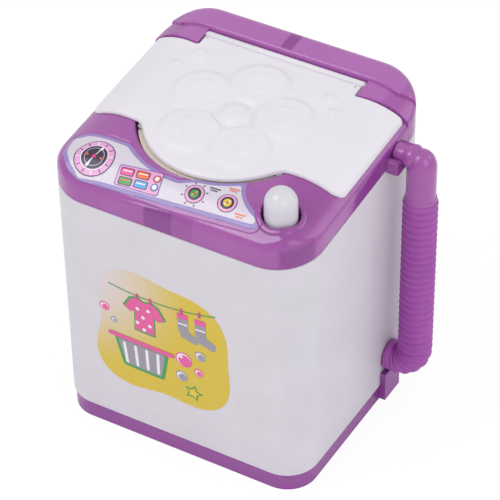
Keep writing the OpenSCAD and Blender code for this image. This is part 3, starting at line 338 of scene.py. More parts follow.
def addMesh(name, points, faces, material, body, crease=38, paint=None, merge=True):
    mesh = bpy.data.meshes.new(name)
    mesh.from_pydata((np.asarray(points, float) * mm).tolist(), [], [tuple(int(v) for v in f) for f in faces])
    for key, values in (paint or {}).items():
        mesh.attributes.new(key, "FLOAT", "POINT").data.foreach_set("value", np.asarray(values, np.float32))
    work = bmesh.new()
    work.from_mesh(mesh)
    if merge:
        bmesh.ops.remove_doubles(work, verts=work.verts, dist=0.002 * mm)
        bmesh.ops.recalc_face_normals(work, faces=work.faces)
    work.to_mesh(mesh)
    work.free()
    mesh.polygons.foreach_set("use_smooth", [True] * len(mesh.polygons))
    mesh.set_sharp_from_angle(angle=math.radians(crease))
    mesh.materials.append(material)
    obj = bpy.data.objects.new(name, mesh)
    scene.collection.objects.link(obj)
    if body:
        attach(obj, body)
    return obj


def loft(rings, loop=True, close=False, capStart=False, capEnd=False):
    # joins rings of equal length; loop closes each ring, close joins the last ring to the first
    rings = [np.asarray(r, float) for r in rings]
    n = len(rings[0])
    faces = []
    pairs = list(range(len(rings) - 1)) + ([len(rings) - 1] if close else [])
    for a in pairs:
        b = (a + 1) % len(rings)
        for k in range(n if loop else n - 1):
            m = (k + 1) % n
            faces.append((a * n + k, a * n + m, b * n + m, b * n + k))
    if capStart:
        faces.append(tuple(range(n - 1, -1, -1)))
    if capEnd:
        last = (len(rings) - 1) * n
        faces.append(tuple(range(last, last + n)))
    return np.vstack(rings), faces


def joinShapes(*shapes):
    points, faces, base = [], [], 0
    for p, f in shapes:
        points.append(np.asarray(p, float))
        faces += [tuple(v + base for v in face) for face in f]
        base += len(p)
    return np.vstack(points), faces


def turned(profile, centre=(0, 0), sides=96):
    # lathe about a vertical axis; profile holds (radius, height)
    angles = np.arange(sides) * 2 * math.pi / sides
    rings = [np.column_stack((centre[0] + r * np.cos(angles), centre[1] + r * np.sin(angles), np.full(sides, z)))
             for r, z in profile]
    return loft(rings)


def ringRound(x, y, z, radius, sides):
    # ring about a line along X
    turn = np.arange(sides) * 2 * math.pi / sides
    return np.column_stack((np.full(sides, x), y + radius * np.cos(turn), z + radius * np.sin(turn)))


def evenLoop(points, count=None, step=0.5):
    # evenly spaced points along a closed line, count of them or one every step millimetres
    loop = np.vstack([points, points[:1]])
    length = np.concatenate([[0], np.cumsum(np.hypot(*np.diff(loop, axis=0).T))])
    at = np.linspace(0, length[-1], count or int(length[-1] / step), endpoint=False)
    return np.column_stack([np.interp(at, length, loop[:, k]) for k in (0, 1)])


def roundedRect(w, d, r, corner=16, along=(36, 60)):
    # points and outward normals, anticlockwise from the middle of the front edge;
    # along holds how many points lie on half a front edge and on a side edge
    points, normals = [], []
    hw, hd = w / 2, d / 2
    legs = [((0, -hd), (hw - r, -hd), (0, -1), along[0]), ((hw, -hd + r), (hw, hd - r), (1, 0), along[1]),
            ((hw - r, hd), (-hw + r, hd), (0, 1), 2 * along[0]), ((-hw, hd - r), (-hw, -hd + r), (-1, 0), along[1]),
            ((-hw + r, -hd), (0, -hd), (0, -1), along[0])]
    centres = [(hw - r, -hd + r, -90), (hw - r, hd - r, 0), (-hw + r, hd - r, 90), (-hw + r, -hd + r, 180)]
    for index, (a, b, normal, count) in enumerate(legs):
        for k in range(count):
            points.append(tuple(a[i] + (b[i] - a[i]) * k / count for i in (0, 1)))
            normals.append(normal)
        if index < 4:
            cx, cy, start = centres[index]
            for k in range(corner):
                angle = math.radians(start + 90 * k / corner)
                points.append((cx + r * math.cos(angle), cy + r * math.sin(angle)))
                normals.append((math.cos(angle), math.sin(angle)))
    return np.array(points), np.array(normals)


# Sizes shared by the pieces of the body, the same as the solids have

body = {
    "width": 108.5, "depth": 101.5, "corner": 18.0,
    "footWidth": 106.5, "footDepth": 94.5, "footCorner": 13.2,
    "seam": 109.8, "tilt": 4.6, "wall": 1.8, "trayTop": 7.6,
    "deck": 15.3, "lidTop": 17.1, "barTop": 18.4, "flange": 13.1,
    "crownFlat": 34.0, "crownRadius": 31.5,
    "panelY": -48.02, "panelZ": 120.93, "panelSlope": 33.0, "bendBlend": 1.7,
    "barY": 37.65, "blockY": 28.65,
    "tub": (0.0, -3.1), "tubMouth": 31.1,
    "nose": (0.0, -1.2), "noseRadius": 34.2, "recess": 34.5, "recessRise": 0.6, "channel": (-1.3, -1.8),
    "button": (39.2, -36.7), "hose": (65.0, 21.6), "armLift": 4.0,
}
frontY = -body["depth"] / 2
tiltTan = math.tan(math.radians(body["tilt"]))
tiltCos = math.cos(math.radians(body["tilt"]))


def seamAt(y):
    return body["seam"] + tiltTan * (y - frontY)


def levelAt(y, v):
    return seamAt(y) + v / tiltCos


def crownDrop(x):
    over = np.clip(np.abs(x) - body["crownFlat"], 0, body["crownRadius"] - 1)
    return body["crownRadius"] - np.sqrt(body["crownRadius"] ** 2 - over ** 2)


def smoothMin(a, b, k):
    h = np.clip(k - np.abs(a - b), 0, None) / k
    return np.minimum(a, b) - h * h * k / 4


def deckHeight(x, y):
    panel = body["panelZ"] + math.tan(math.radians(body["panelSlope"])) * (y - body["panelY"])
    return smoothMin(panel, levelAt(y, body["deck"] - crownDrop(x)), body["bendBlend"])


def easeStep(value, low, high):
    t = np.clip((value - low) / (high - low), 0, 1)
    return t * t * (3 - 2 * t)


# Cabinet: drafted shell, rounded corners, small rounded rims

cabinetLook = {
    "rim": 0.7, "rows": 26,
    "inside": ((1, 0), (1, -6.0), (0.04, 0), (0, 0)),    # share of the height, and how far off that
}


def bodyRing(z, inset=0.0):
    # the drafted outline of the cabinet and the tray at height z, given per point
    span = seamAt(0.0) - body["trayTop"]
    unit, normals = roundedRect(body["footWidth"], body["footDepth"], body["footCorner"])
    wide, _ = roundedRect(body["width"], body["depth"], body["corner"])
    share = (z - body["trayTop"]) / span
    points = unit + (wide - unit) * np.reshape(share, (-1, 1))
    return points - normals * inset


def cabinetRing(share, inset, sink=0.0):
    # share 0 is the lower rim, 1 the seam; sink lowers the point from its rim
    z = np.full(len(roundedRect(1, 1, 0)[0]), body["trayTop"], float)
    for _ in range(4):
        flat = bodyRing(z, inset)
        top = seamAt(flat[:, 1])
        z = body["trayTop"] + share * (top - body["trayTop"]) + sink
    return np.column_stack((flat, z))


def buildCabinet(look):
    r = look["rim"]
    bend = [(r * (1 - math.cos(a)), r * (1 - math.sin(a))) for a in np.linspace(0, math.pi / 2, 6)]
    rings = [cabinetRing(0, inset, lift) for inset, lift in reversed(bend)]
    rings += [cabinetRing(s, 0) for s in np.linspace(0.02, 0.98, look["rows"])]
    rings += [cabinetRing(1, inset, -lift) for inset, lift in bend]
    rings += [cabinetRing(share, body["wall"], sink) for share, sink in look["inside"]]
    points, faces = loft(rings, close=True)
    shell = addMesh("cabinetShell", points, faces, whiteAbs, "cabinet")
    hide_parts("cabinet")


buildCabinet(cabinetLook)
print("cabinet built")


# Top frame: one skin round the tub mouth, ring by ring out to the outline and down to the seam

frameLook = {
    "edgeSide": 3.2, "edgeFront": 6.0, "edgeRear": 4.6,   # radii of the outer edge
    "stepEdge": 0.8,                                       # radius of the edges of bar and blocks
    "fillet": 6.5,                                         # width of the band that holds that edge
    "blockRake": 4.0, "blockReach": 56.25,                 # how far a block's front runs back, and where
    "deckRim": 2.4, "blockRim": 0.9, "barRim": 0.8,        # the least flat ground left before the band
    "mouth": ((0, 1.8), (0, 0.35), (0.1, 0.1), (0.35, 0)),    # rounded edge of the mouth: out, down
    "flangeRings": (33.6, 34.1), "recessRings": (34.3, 38.1, 0.2), "deckFrom": 38.1,
    "outline": {"corner": 46, "along": (58, 106)}, "hairline": 0.004,
    "blockEdge": (47.75, 31.12), "barEdge": (46.65, 37.65),   # where block and bar meet the outer edge
    "innerFront": (34.0, 28.65), "innerBar": (34.0, 37.65),   # inner corners of a block
}


def frameTurns():
    # directions from the middle of the nose to the marks where bar and blocks begin, in degrees
    cx, cy = body["nose"]
    marks = [frameLook[key] for key in ("blockEdge", "barEdge", "innerFront", "innerBar")]
    return [math.degrees(math.atan2(y - cy, x - cx)) for x, y in marks]


def frameOutline():
    # dense outline with its inward lines, and extra lines where bar and blocks meet the edge
    points, normals = roundedRect(body["width"], body["depth"], body["corner"], **frameLook["outline"])
    cx, cy = body["nose"]
    ends = points - normals * frameLook["fillet"]
    angles = np.unwrap(np.arctan2(ends[:, 1] - cy, ends[:, 0] - cx))
    wanted, hair = [], frameLook["hairline"]
    blockEdge, barEdge, innerFront, innerBar = frameTurns()
    for a in (blockEdge, barEdge):
        wanted += [a - hair, a + hair]
    wanted += [innerFront - 0.15, innerFront, innerBar - hair, innerBar + hair]
    turns = []
    for a in wanted:
        turns += [math.radians(a), math.radians(180 - a)]
    extraPoints, extraNormals = [], []
    for turn in turns:
        k = int(np.searchsorted(angles, turn)) - 1
        share = (turn - angles[k]) / (angles[k + 1] - angles[k])
        extraPoints.append(points[k] + (points[k + 1] - points[k]) * share)
        normal = normals[k] + (normals[k + 1] - normals[k]) * share
        extraNormals.append(normal / np.linalg.norm(normal))
    points = np.vstack([points, extraPoints])
    normals = np.vstack([normals, extraNormals])
    ends = points - normals * frameLook["fillet"]
    angles = np.arctan2(ends[:, 1] - cy, ends[:, 0] - cx)
    angles = np.where(angles < -math.pi / 2, angles + 2 * math.pi, angles)
    order = np.argsort(angles)
    return points[order], normals[order], ends[order], angles[order]


def topHeight(x, y, level):
    raised = np.where(level > 1.5, body["barTop"], body["lidTop"])
    return np.where(level < 0.5, deckHeight(x, y), levelAt(y, raised - crownDrop(x)))


def buildFrame(look):
    outline, normals, ends, angles = frameOutline()
    cx, cy = body["nose"]
    turn = np.degrees(angles)
    side = np.where(turn > 90, 180 - turn, turn)       # both halves measured from the X axis
    direction = np.column_stack((np.cos(angles), np.sin(angles)))
    endR = np.hypot(ends[:, 0] - cx, ends[:, 1] - cy)
    absX, absY = np.abs(direction[:, 0]), direction[:, 1]
    blockEdge, barEdge, innerFront, innerBar = frameTurns()
    inBlock = (side > blockEdge) & (side <= barEdge)
    crossesBoth = (side > barEdge) & (side <= innerBar)
    barOnly = side > innerBar
    slope = look["blockRake"] / (look["blockReach"] - body["crownFlat"])
    with np.errstate(divide="ignore", invalid="ignore"):
        toBar = (body["barY"] - cy) / absY
        toInner = body["crownFlat"] / absX
        toBlock = (body["blockY"] - slope * body["crownFlat"] - cy) / (absY - slope * absX)
    blockFront = np.where(side > innerFront, toInner, np.minimum(toBlock, endR - look["blockRim"]))
    stepR = np.where(inBlock | crossesBoth, blockFront, endR - look["deckRim"])
    barR = np.where(crossesBoth | barOnly, toBar, endR - look["barRim"])
    stepR = np.where(barOnly, toBar - 0.7, stepR)
    barR = np.minimum(barR, endR - 0.4)
    stepR = np.minimum(stepR, barR - 0.05)
    levelMid = np.where(inBlock | crossesBoth, 1.0, 0.0)
    levelOut = np.where(crossesBoth | barOnly, 2.0, np.where(inBlock, 1.0, 0.0))
    zero = np.zeros(len(outline))

    def ringAt(radius):
        return cx + radius * direction[:, 0], cy + radius * direction[:, 1]

    def edgeSink(s, r):
        inside = np.clip(r - s, 0, r)
        return r - np.sqrt(np.clip(r * r - inside * inside, 0, None))

    rings = []

    def addRing(radius, level, sink=0):
        x, y = ringAt(radius)
        rings.append(np.column_stack((x, y, topHeight(x, y, level) - sink)))

    for out, drop in look["mouth"]:
        x, y = (np.array(body["tub"]) + (body["tubMouth"] + out) * direction).T
        rings.append(np.column_stack((x, y, levelAt(y, body["flange"] - drop))))
    for radius in np.concatenate([look["flangeRings"], np.arange(*look["recessRings"])]):
        x, y = ringAt(zero + radius)
        reach = np.minimum(radius, np.hypot(x - body["channel"][0], y - body["channel"][1]))
        rise = (reach - body["recess"]) / body["recessRise"]
        cone = levelAt(y, body["flange"] + rise * (body["deck"] - body["flange"]))
        floor = levelAt(y, body["flange"])
        wallZ = -smoothMin(-cone, -floor, 0.35)
        rings.append(np.column_stack((x, y, smoothMin(deckHeight(x, y), wallZ, 0.6))))
    for share in np.linspace(0, 1, 16)[1:]:
        addRing(look["deckFrom"] + (stepR - 0.1 - look["deckFrom"]) * share, zero)
    r = look["stepEdge"]
    for start, stop, level in ((stepR, barR, levelMid), (barR, endR, levelOut)):
        room = stop - start
        below = levelMid if start is barR else zero
        raised = level > below + 0.5
        if start is barR:
            addRing(start - 0.02, below)
        for s in (0.0, 0.08, 0.2, 0.4, 0.62, 0.85):
            away = np.minimum(s, room * s / 1.2)
            addRing(start + away, level, np.where(raised, edgeSink(away, np.minimum(r, room * 0.7 + 0.001)), 0))
        for share in np.linspace(0, 1, 9 if start is stepR else 7)[1:]:
            first = np.minimum(0.85, room * 0.85 / 1.2)
            addRing(start + first + (room - first - 0.04) * share, level)
    # rolled outer edge: an exact round between the wall and the slope above it
    front = np.clip(-normals[:, 1], 0, 1) ** 0.7
    rear = np.clip(normals[:, 1], 0, 1) ** 0.7
    edgeR = look["edgeSide"] + (look["edgeFront"] - look["edgeSide"]) * front \
        + (look["edgeRear"] - look["edgeSide"]) * rear

    def upper(d):
        p = outline - normals * np.reshape(d, (-1, 1))
        return p, topHeight(p[:, 0], p[:, 1], levelOut)

    _, base = upper(zero)
    tangent = zero + 0.3
    for _ in range(5):
        meet = np.clip(edgeR * (1 - np.sin(np.arctan(tangent))), 0.4, look["fillet"])
        tangent = (upper(meet)[1] - base) / meet
    angle = np.arctan(tangent)
    meet = np.clip(edgeR * (1 - np.sin(angle)), 0.4, look["fillet"])
    centre = base + edgeR * np.tan(angle) - edgeR / np.cos(angle)
    for share in (1.0, 0.86, 0.72, 0.6, 0.48, 0.38, 0.29, 0.21, 0.14, 0.085, 0.04, 0.012, 0.0):
        d = zero + look["fillet"] * share
        p, z = upper(d)
        rounded = centre + np.sqrt(np.clip(edgeR ** 2 - (edgeR - d) ** 2, 0, None))
        rings.append(np.column_stack((p, np.where(d < meet, rounded, z))))
    edgeZ = rings[-1][:, 2]
    seamZ = seamAt(outline[:, 1])
    for share in (0.12, 0.26, 0.42, 0.6, 0.78, 0.93):
        rings.append(np.column_stack((outline, edgeZ + (seamZ + 0.5 - edgeZ) * share)))
    for inset, lift in ((0.0, 0.5), (0.1, 0.22), (0.35, 0.08), (body["wall"], 0.06), (body["wall"], 5.0)):
        p = outline - normals * inset
        rings.append(np.column_stack((p, seamZ + lift)))
    points, faces = loft(rings)

    # the skin is open under the ring of the button
    bx, by = body["button"]
    middle = np.array([points[list(f)].mean(axis=0) for f in faces])
    onTop = middle[:, 2] > seamAt(middle[:, 1]) + 6
    keep = (np.hypot(middle[:, 0] - bx, middle[:, 1] - by) > buttonRingLook["skinHole"]) | ~onTop
    faces = [f for f, k in zip(faces, keep) if k]
    return points, faces


buttonRingLook = {
    "height": 0.55, "outer": 9.2, "hole": 7.1, "skinHole": 8.1,
    "wellTop": 121.0, "wellLow": 118.4, "wellWall": 1.4,    # short tube below the hole
}


def buttonRing(look):
    # raised ring round the button: it follows the slope of the panel
    bx, by = body["button"]
    hole = look["hole"]
    angles = np.arange(120) * 2 * math.pi / 120
    rings = []
    outer, high = look["outer"], look["height"]
    for radius, lift in ((outer + 0.5, -0.5), (outer + 0.2, -0.02), (outer, 0.16), (outer - 0.25, 0.36),
                         (outer - 0.6, high - 0.04), (outer - 1.0, high), (hole + 0.5, high - 0.05),
                         (hole + 0.2, high - 0.2), (hole + 0.04, high - 0.5), (hole, high - 1.0)):
        x, y = bx + radius * np.cos(angles), by + radius * np.sin(angles)
        rings.append(np.column_stack((x, y, deckHeight(x, y) + lift)))
    wall, wellTop, wellLow = hole + look["wellWall"], look["wellTop"], look["wellLow"]
    for radius, z in ((hole, wellTop), (hole, wellLow), (wall, wellLow), (wall, wellTop)):
        rings.append(np.column_stack((bx + radius * np.cos(angles), by + radius * np.sin(angles), np.full(120, z))))
    return loft(rings)


cradleLook = {
    "floor": 4.25, "wall": 3.2, "below": 1.5,
    "ends": ((53.0, 0), (58.2, 0), (58.6, -0.12), (58.8, -0.4)),    # x, and how much the outer edge closes in
}


def cradleShape(look):
    # open U on the right side in which the arm of the elbow lies
    hx, hy = body["hose"]
    floorR, wallT, armZ = look["floor"], look["wall"], seamAt(hy) + body["armLift"]
    half, low = floorR + wallT, armZ - floorR - look["below"]
    side = [(-half + 1.2, low), (half - 1.2, low), (half - 0.35, low + 0.35), (half, low + 1.2), (half, armZ - 0.7),
            (half - 0.2, armZ - 0.2), (half - 0.7, armZ), (floorR + 0.5, armZ), (floorR + 0.12, armZ - 0.15)]
    cup = [(floorR * math.cos(a), armZ - floorR * math.sin(a)) for a in np.linspace(0.12, math.pi - 0.12, 22)]
    back = [(-p[0], p[1]) for p in reversed(side[2:])]
    rings = [[(x, hy + p[0] * (1 + grow / half), armZ + (p[1] - armZ) * (1 + grow / half) + min(grow, 0) * 0.4)
              for p in side + cup + back] for x, grow in look["ends"]]
    return loft(rings, capEnd=True)


def arcOf(c, r, a0, a1, n):
    return [(c[0] + r * math.cos(math.radians(a0 + (a1 - a0) * k / n)),
             c[1] + r * math.sin(math.radians(a0 + (a1 - a0) * k / n))) for k in range(n + 1)]


labelLook = {
    "left": (-34.9, -34.3), "leftRadius": 15.7,       # the round left end
    "rear": (-3.2, -2.4), "rearRadius": 36.5,         # the sweep round the channel of the recess
    "noseRadius": 35.1,                               # the sweep round the lid's nose
    "button": (37.5, -25.3), "buttonRadius": 16.7,    # the sweep towards the button
    "tip": (31.9, -43.9), "tipRadius": 2.5,
    "border": 1.5, "bedGap": 1.3, "film": 0.1,        # lilac border, gap to the step of the bed, thickness
}


def labelPlan(grow=0.0):
    # outline of the control label in plan, grown by grow, anticlockwise
    g, look = grow, labelLook
    points = arcOf(look["left"], look["leftRadius"] + g, 245, 176, 26)
    points += [(-47.6 - g, -31.4 + g), (-44.2, -30.5 + g), (-27.2, -30.6 + g)]
    points += arcOf(look["rear"], look["rearRadius"] - g, -124, -86, 20)
    nose, noseR, button, buttonR = body["nose"], look["noseRadius"] - g, look["button"], look["buttonRadius"] - g
    points += [p for p in arcOf(nose, noseR, -82, -46, 30) if math.dist(p, button) > buttonR]
    points += [p for p in arcOf(button, buttonR, 180, 250, 40) if math.dist(p, nose) > noseR]
    points += arcOf(look["tip"], look["tipRadius"] + g, 45, -98, 12)
    points += [(0.0, -48.1 - g), (-29.4, -49.7 - g), (-37.8, -50.0 - 0.4 * g)]
    return np.array(points)[::-1]


def smoothLoop(points, count=400, passes=6):
    # evenly spaced points along a closed line, its corners eased
    line = evenLoop(points, count)
    for _ in range(passes):
        line = 0.25 * np.roll(line, 1, axis=0) + 0.5 * line + 0.25 * np.roll(line, -1, axis=0)
    return line


def signedDistance(points, loop):
    # distance to a closed line, negative inside
    best = np.full(len(points), 1e9)
    inside = np.zeros(len(points), bool)
    for a, b in zip(loop, np.roll(loop, -1, axis=0)):
        edge = b - a
        t = np.clip(((points - a) @ edge) / max(edge @ edge, 1e-9), 0, 1)
        best = np.minimum(best, np.hypot(*(points - a - t[:, None] * edge).T))
        crosses = (a[1] > points[:, 1]) != (b[1] > points[:, 1])
        if abs(b[1] - a[1]) > 1e-12:
            inside ^= crosses & (points[:, 0] < (b[0] - a[0]) * (points[:, 1] - a[1]) / (b[1] - a[1]) + a[0])
    return np.where(inside, -best, best)


# Painted shade where doubled plastic looks darker: how dark, then where it begins, is full, starts to fade and is
# gone, across x, along y and up from the seam. Open ends lie far outside.
paintedRibShades = [
    (1.0, (-9.6, -9.2, 2.2, 2.7), (-99, -98, -50.2, -48.6), (-99, -98, 9.5, 11.5)),    # boss behind the front
    (0.4, (2.2, 2.7, 10.4, 10.9), (-99, -98, -50.2, -48.6), (-99, -98, 9.5, 11.5)),    # thinner web beside it
    (0.8, (-3.8, -3.4, 0.6, 1.0), (38, 39, 98, 99), (-99, -98, 98, 99)),               # rib across the bar
    (0.4, (30, 36, 98, 99), (-99, -98, -22, -14), (8, 12, 98, 99)),                    # deck over the switch
]


def band(value, edges):
    return easeStep(value, edges[0], edges[1]) * (1 - easeStep(value, edges[2], edges[3]))


def paintedFrameShade(points):
    # painted shade, 0 to 1, where the plastic is doubled by what stands behind it, and below 0 on the bar and blocks,
    # where painted light makes it paler
    x, y, z = points.T
    above = z - seamAt(y)
    shade = np.zeros(len(points))
    for strength, across, along, up in paintedRibShades:
        shade = np.maximum(shade, strength * band(x, across) * band(y, along) * band(above, up))
    # painted shade at the corner post at the front right and along the long rib on the right wall, both with a
    # slanted border
    corner = easeStep(x, 44, 46) * easeStep(-y, 36, 39) * (1 - easeStep(above, 7.5, 10))
    shade = np.maximum(shade, 0.85 * corner * easeStep(x - y * 0.9, 80, 83))
    right = easeStep(x, 53.4, 54.2) * easeStep(y - 0.37 * (z - 119), -10.2, -8.8) * (1 - easeStep(y, 17, 19))
    shade = np.maximum(shade, 0.9 * right * (1 - easeStep(above, 8, 11)))
    # painted shade over the wall of the tub below the channel, and over the lap on the cabinet along the seam
    tub = np.hypot(x - body["channel"][0], y - body["channel"][1])
    shade = np.maximum(shade, 0.9 * (1 - easeStep(tub, 34.6, 36.4)))
    shade = np.maximum(shade, 0.35 * (1 - easeStep(above, 0.3, 2.6)))
    clear = easeStep(above, 15.2, 16.0) * easeStep(y, 27, 29)       # painted light on the bar and blocks
    return np.where(shade > 0.02, shade, -0.4 * clear)


def bedDistances(points, far=4.0, wallTop=6.0):
    # distance to the step round the bed of the label, for its bump; beyond far and on the walls just far
    bed = smoothLoop(labelPlan(labelLook["bedGap"]))
    near = np.abs(signedDistance(points[:, :2], bed[::4])) < far
    distances = np.full(len(points), far)
    distances[near] = signedDistance(points[near][:, :2], bed)
    distances[points[:, 2] < seamAt(points[:, 1]) + wallTop] = far
    return distances


frameShape = joinShapes(buildFrame(frameLook), buttonRing(buttonRingLook), cradleShape(cradleLook))
# thick carries the painted shade and painted light of the frame
frameSkin = addMesh("topFrameSkin", *frameShape, orchidStyrene, "cabinet", crease=50,
                    paint={"thick": paintedFrameShade(frameShape[0]), "bedDistance": bedDistances(frameShape[0])})
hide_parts("top_frame")
print("top frame built:", len(frameSkin.data.polygons), "faces")


# Lid: a thick soft plate with rolled edges and a low flower relief

lidLook = {
    "edge": 1.3,             # radius of the upper edge
    "band": 2.2,             # width of the ground that the edge is drawn in
    "thick": 1.62, "noseDrop": 1.95,    # the round front is thicker than the sides
    "under": 1.5,            # depth of the underside
    "relief": 1.7, "petalReach": 18.0, "petalRadius": 13.0, "petals": 5, "reliefY": -1.5,
    "petalRing": (4.6, 0.32),           # radius and height of the ring on every petal
    "knob": (2.1, 3.2, 7.2), "knobMoat": (7.0, 8.6),    # height, flat and foot of the knob, and its moat
    "bubbles": [(-29, 22, 4.4), (27, 22, 3.2), (31.5, 16, 2.2), (-34, 14.5, 2.2)],
    "corners": [(29.6, -18.95, 5.0), (49.0, -17.6, 0), (52.6, -15.6, 3.2), (52.6, 30.9, 1.6), (33.4, 28.1, 0.8),
                (33.4, 33.9, 0.8)],     # right side behind the nose: x, y, radius
    # ring that drops into the mouth of the tub, as radius and height above the seam
    "hoop": ((28.6, 15.7), (28.6, 14.1), (28.45, 13.85), (28.2, 13.75), (27.6, 13.75), (27.4, 13.95), (27.4, 15.7)),
    # rolled rear edge with its pins, as x and radius
    "barrel": ((36.1, 0.6), (36.1, 0.9), (35.9, 1.0), (33.5, 1.0), (33.5, 1.3), (33.3, 1.5)),
    "hingeIn": 2.0, "hingeDown": 1.55, "centre": (0.0, 5.0), "grid": 0.8,
}


def filleted(corners, step=0.5):
    # corners hold (x, y, radius); returns a smooth closed line of even steps
    line = []
    n = len(corners)
    for k in range(n):
        x, y, r = corners[k]
        here = np.array((x, y), float)
        before = np.array(corners[k - 1][:2], float) - here
        after = np.array(corners[(k + 1) % n][:2], float) - here
        lb, la = np.linalg.norm(before), np.linalg.norm(after)
        before, after = before / lb, after / la
        bend = math.acos(max(-1, min(1, float(before @ after))))
        if r <= 0 or abs(math.pi - bend) < 0.03:
            line.append(here)
            continue
        cut = min(r / math.tan(bend / 2), 0.48 * lb, 0.48 * la)
        r = cut * math.tan(bend / 2)
        centre = here + (before + after) / np.linalg.norm(before + after) * (r / math.sin(bend / 2))
        start, stop = here + before * cut - centre, here + after * cut - centre
        a0 = math.atan2(start[1], start[0])
        turn = (math.atan2(stop[1], stop[0]) - a0 + math.pi) % (2 * math.pi) - math.pi
        for t in np.linspace(0, 1, 7):
            line.append(centre + r * np.array((math.cos(a0 + turn * t), math.sin(a0 + turn * t))))
    return evenLoop(np.array(line), step=step)


def sheet(outline, grid):
    # triangles that fill a closed line, with inner points every grid millimetres
    line = np.array(outline, float)
    low, high = line.min(axis=0), line.max(axis=0)
    inner = np.array([(x, y) for x in np.arange(low[0] + grid / 2, high[0], grid)
                      for y in np.arange(low[1] + grid / 2, high[1], grid)]).reshape(-1, 2)
    if len(inner):
        inner = inner[signedDistance(inner, line) < -0.3 * grid]
    points = np.vstack([line, inner])
    n = len(line)
    flat, _, faces, _, _, _ = delaunay_2d_cdt([Vector(p) for p in points], [(k, (k + 1) % n) for k in range(n)],
                                              [list(range(n))], 1, 1e-5)
    return np.array([tuple(v) for v in flat]), [tuple(f) for f in faces]


def lidOutline():
    nose = [(x, y, 0) for x, y in arcOf(body["nose"], body["noseRadius"], -141.5, -38.5, 56)]
    left = [(-x, y, r) for x, y, r in reversed(lidLook["corners"])]
    return filleted(nose + lidLook["corners"] + left)


def reliefHeight(x, y, look):
    # pillowed petals round a knob, each with a soft shoulder
    height = np.zeros_like(x)
    for k in range(look["petals"]):
        a = math.radians(90 + 360 * k / look["petals"])
        d = np.hypot(x - look["petalReach"] * math.cos(a), y - look["reliefY"] - look["petalReach"] * math.sin(a))
        pillow = look["relief"] * (1 - easeStep(d, look["petalRadius"] - 3.4, look["petalRadius"]))
        pillow = pillow * (1 - 0.16 * easeStep(d, 0, look["petalRadius"] - 2))
        height = np.maximum(height, pillow)
        ringR, ringHigh = look["petalRing"]
        height = height + ringHigh * (1 - easeStep(np.abs(d - ringR), 0.2, 1.6)) * (d < 9)
    d = np.hypot(x, y - look["reliefY"])
    knobHigh, knobFlat, knobFoot = look["knob"]
    height = np.maximum(height * easeStep(d, *look["knobMoat"]), 0) + knobHigh * (1 - easeStep(d, knobFlat, knobFoot))
    for bx, by, r in look["bubbles"]:
        d = np.hypot(x - bx, y - by)
        height = np.maximum(height, 0.9 * (1 - easeStep(d, r * 0.45, r)))
    return height


def plateAt(p, drop=0.0):
    # height of the lid's plain top over the plan points p, less drop
    return levelAt(p[:, 1], body["lidTop"] - drop - crownDrop(p[:, 0]))


def lidTop(p, look, sink=0.0):
    return np.column_stack((p, plateAt(p) + reliefHeight(p[:, 0], p[:, 1], look) - sink))


def buildLid(look):
    outline = lidOutline()
    c = np.array(look["centre"])
    forward = np.roll(outline, -1, axis=0) - np.roll(outline, 1, axis=0)
    normals = np.column_stack((forward[:, 1], -forward[:, 0]))
    normals /= np.linalg.norm(normals, axis=1)[:, None]
    for _ in range(3):
        normals = np.roll(normals, 1, axis=0) + normals * 2 + np.roll(normals, -1, axis=0)
        normals /= np.linalg.norm(normals, axis=1)[:, None]
    noseR = np.hypot(outline[:, 0] - body["nose"][0], outline[:, 1] - body["nose"][1]) - body["noseRadius"]
    onNose = (1 - easeStep(noseR, 0.1, 1.3)) * (outline[:, 1] < -12)
    r = look["edge"]
    inner = outline - normals * look["band"]
    flat, faces = sheet(inner, look["grid"])
    rings = [lidTop(inner, look)]
    for d in (1.9, 1.6, 1.3, 1.05, 0.82, 0.6, 0.42, 0.27, 0.15, 0.06, 0.01, 0.0):
        sink = r - math.sqrt(max(r * r - max(r - d, 0) ** 2, 0))
        rings.append(lidTop(outline - normals * d, look, sink))
    topZ, thin, thick = plateAt(outline) - r, plateAt(outline, look["thick"]), plateAt(outline, look["noseDrop"])
    lowZ = thin + (thick - thin) * onNose
    for share in (0.3, 0.62, 0.88):
        rings.append(np.column_stack((outline, topZ + (lowZ - topZ) * share)))
    for d, lift in ((0.08, 0.06), (0.3, 0.0), (1.5, 0.0)):
        rings.append(np.column_stack((outline - normals * d, lowZ + lift)))
    under = outline - normals * 1.55
    for p in [under] + [c + (under - c) * share for share in (0.8, 0.55, 0.3, 0.004)]:
        rings.append(np.column_stack((p, plateAt(p, look["under"]))))
    plate = loft(rings)

    tx, ty = body["tub"]
    angles = np.arange(120) * 2 * math.pi / 120
    hoop = []
    for radius, v in look["hoop"]:
        y = ty + radius * np.sin(angles)
        hoop.append(np.column_stack((tx + radius * np.cos(angles), y, levelAt(y, v))))
    hingeY = body["barY"] - look["hingeIn"]
    hingeZ = levelAt(hingeY, body["lidTop"] - look["hingeDown"])
    ends = [(-x, radius) for x, radius in look["barrel"]] + list(look["barrel"][::-1])
    barrel = [ringRound(x, hingeY, hingeZ, radius, 40) for x, radius in ends]
    return joinShapes((lidTop(flat, look), faces), plate, loft(hoop), loft(barrel, capStart=True, capEnd=True))


lid = addMesh("lidPlate", *buildLid(lidLook), lidAbs, "lid", crease=45)
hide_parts("lid")
print("lid built:", len(lid.data.polygons), "faces")


# Power button: domed cap, its skirt and flange hidden under the frame

buttonLook = {
    "radius": 6.2, "dome": 130.0, "draft": 0.12, "neck": 118.6,
    "bore": [(4.9, 117.2), (4.9, 125.0), (0.02, 125.0)],                      # radius and height
    "flange": [(8.0, 117.2), (8.0, 118.1), (7.8, 118.3), (6.5, 118.3)],
}
springLook = {"coil": 3.2, "turns": 5, "travel": 2.5}


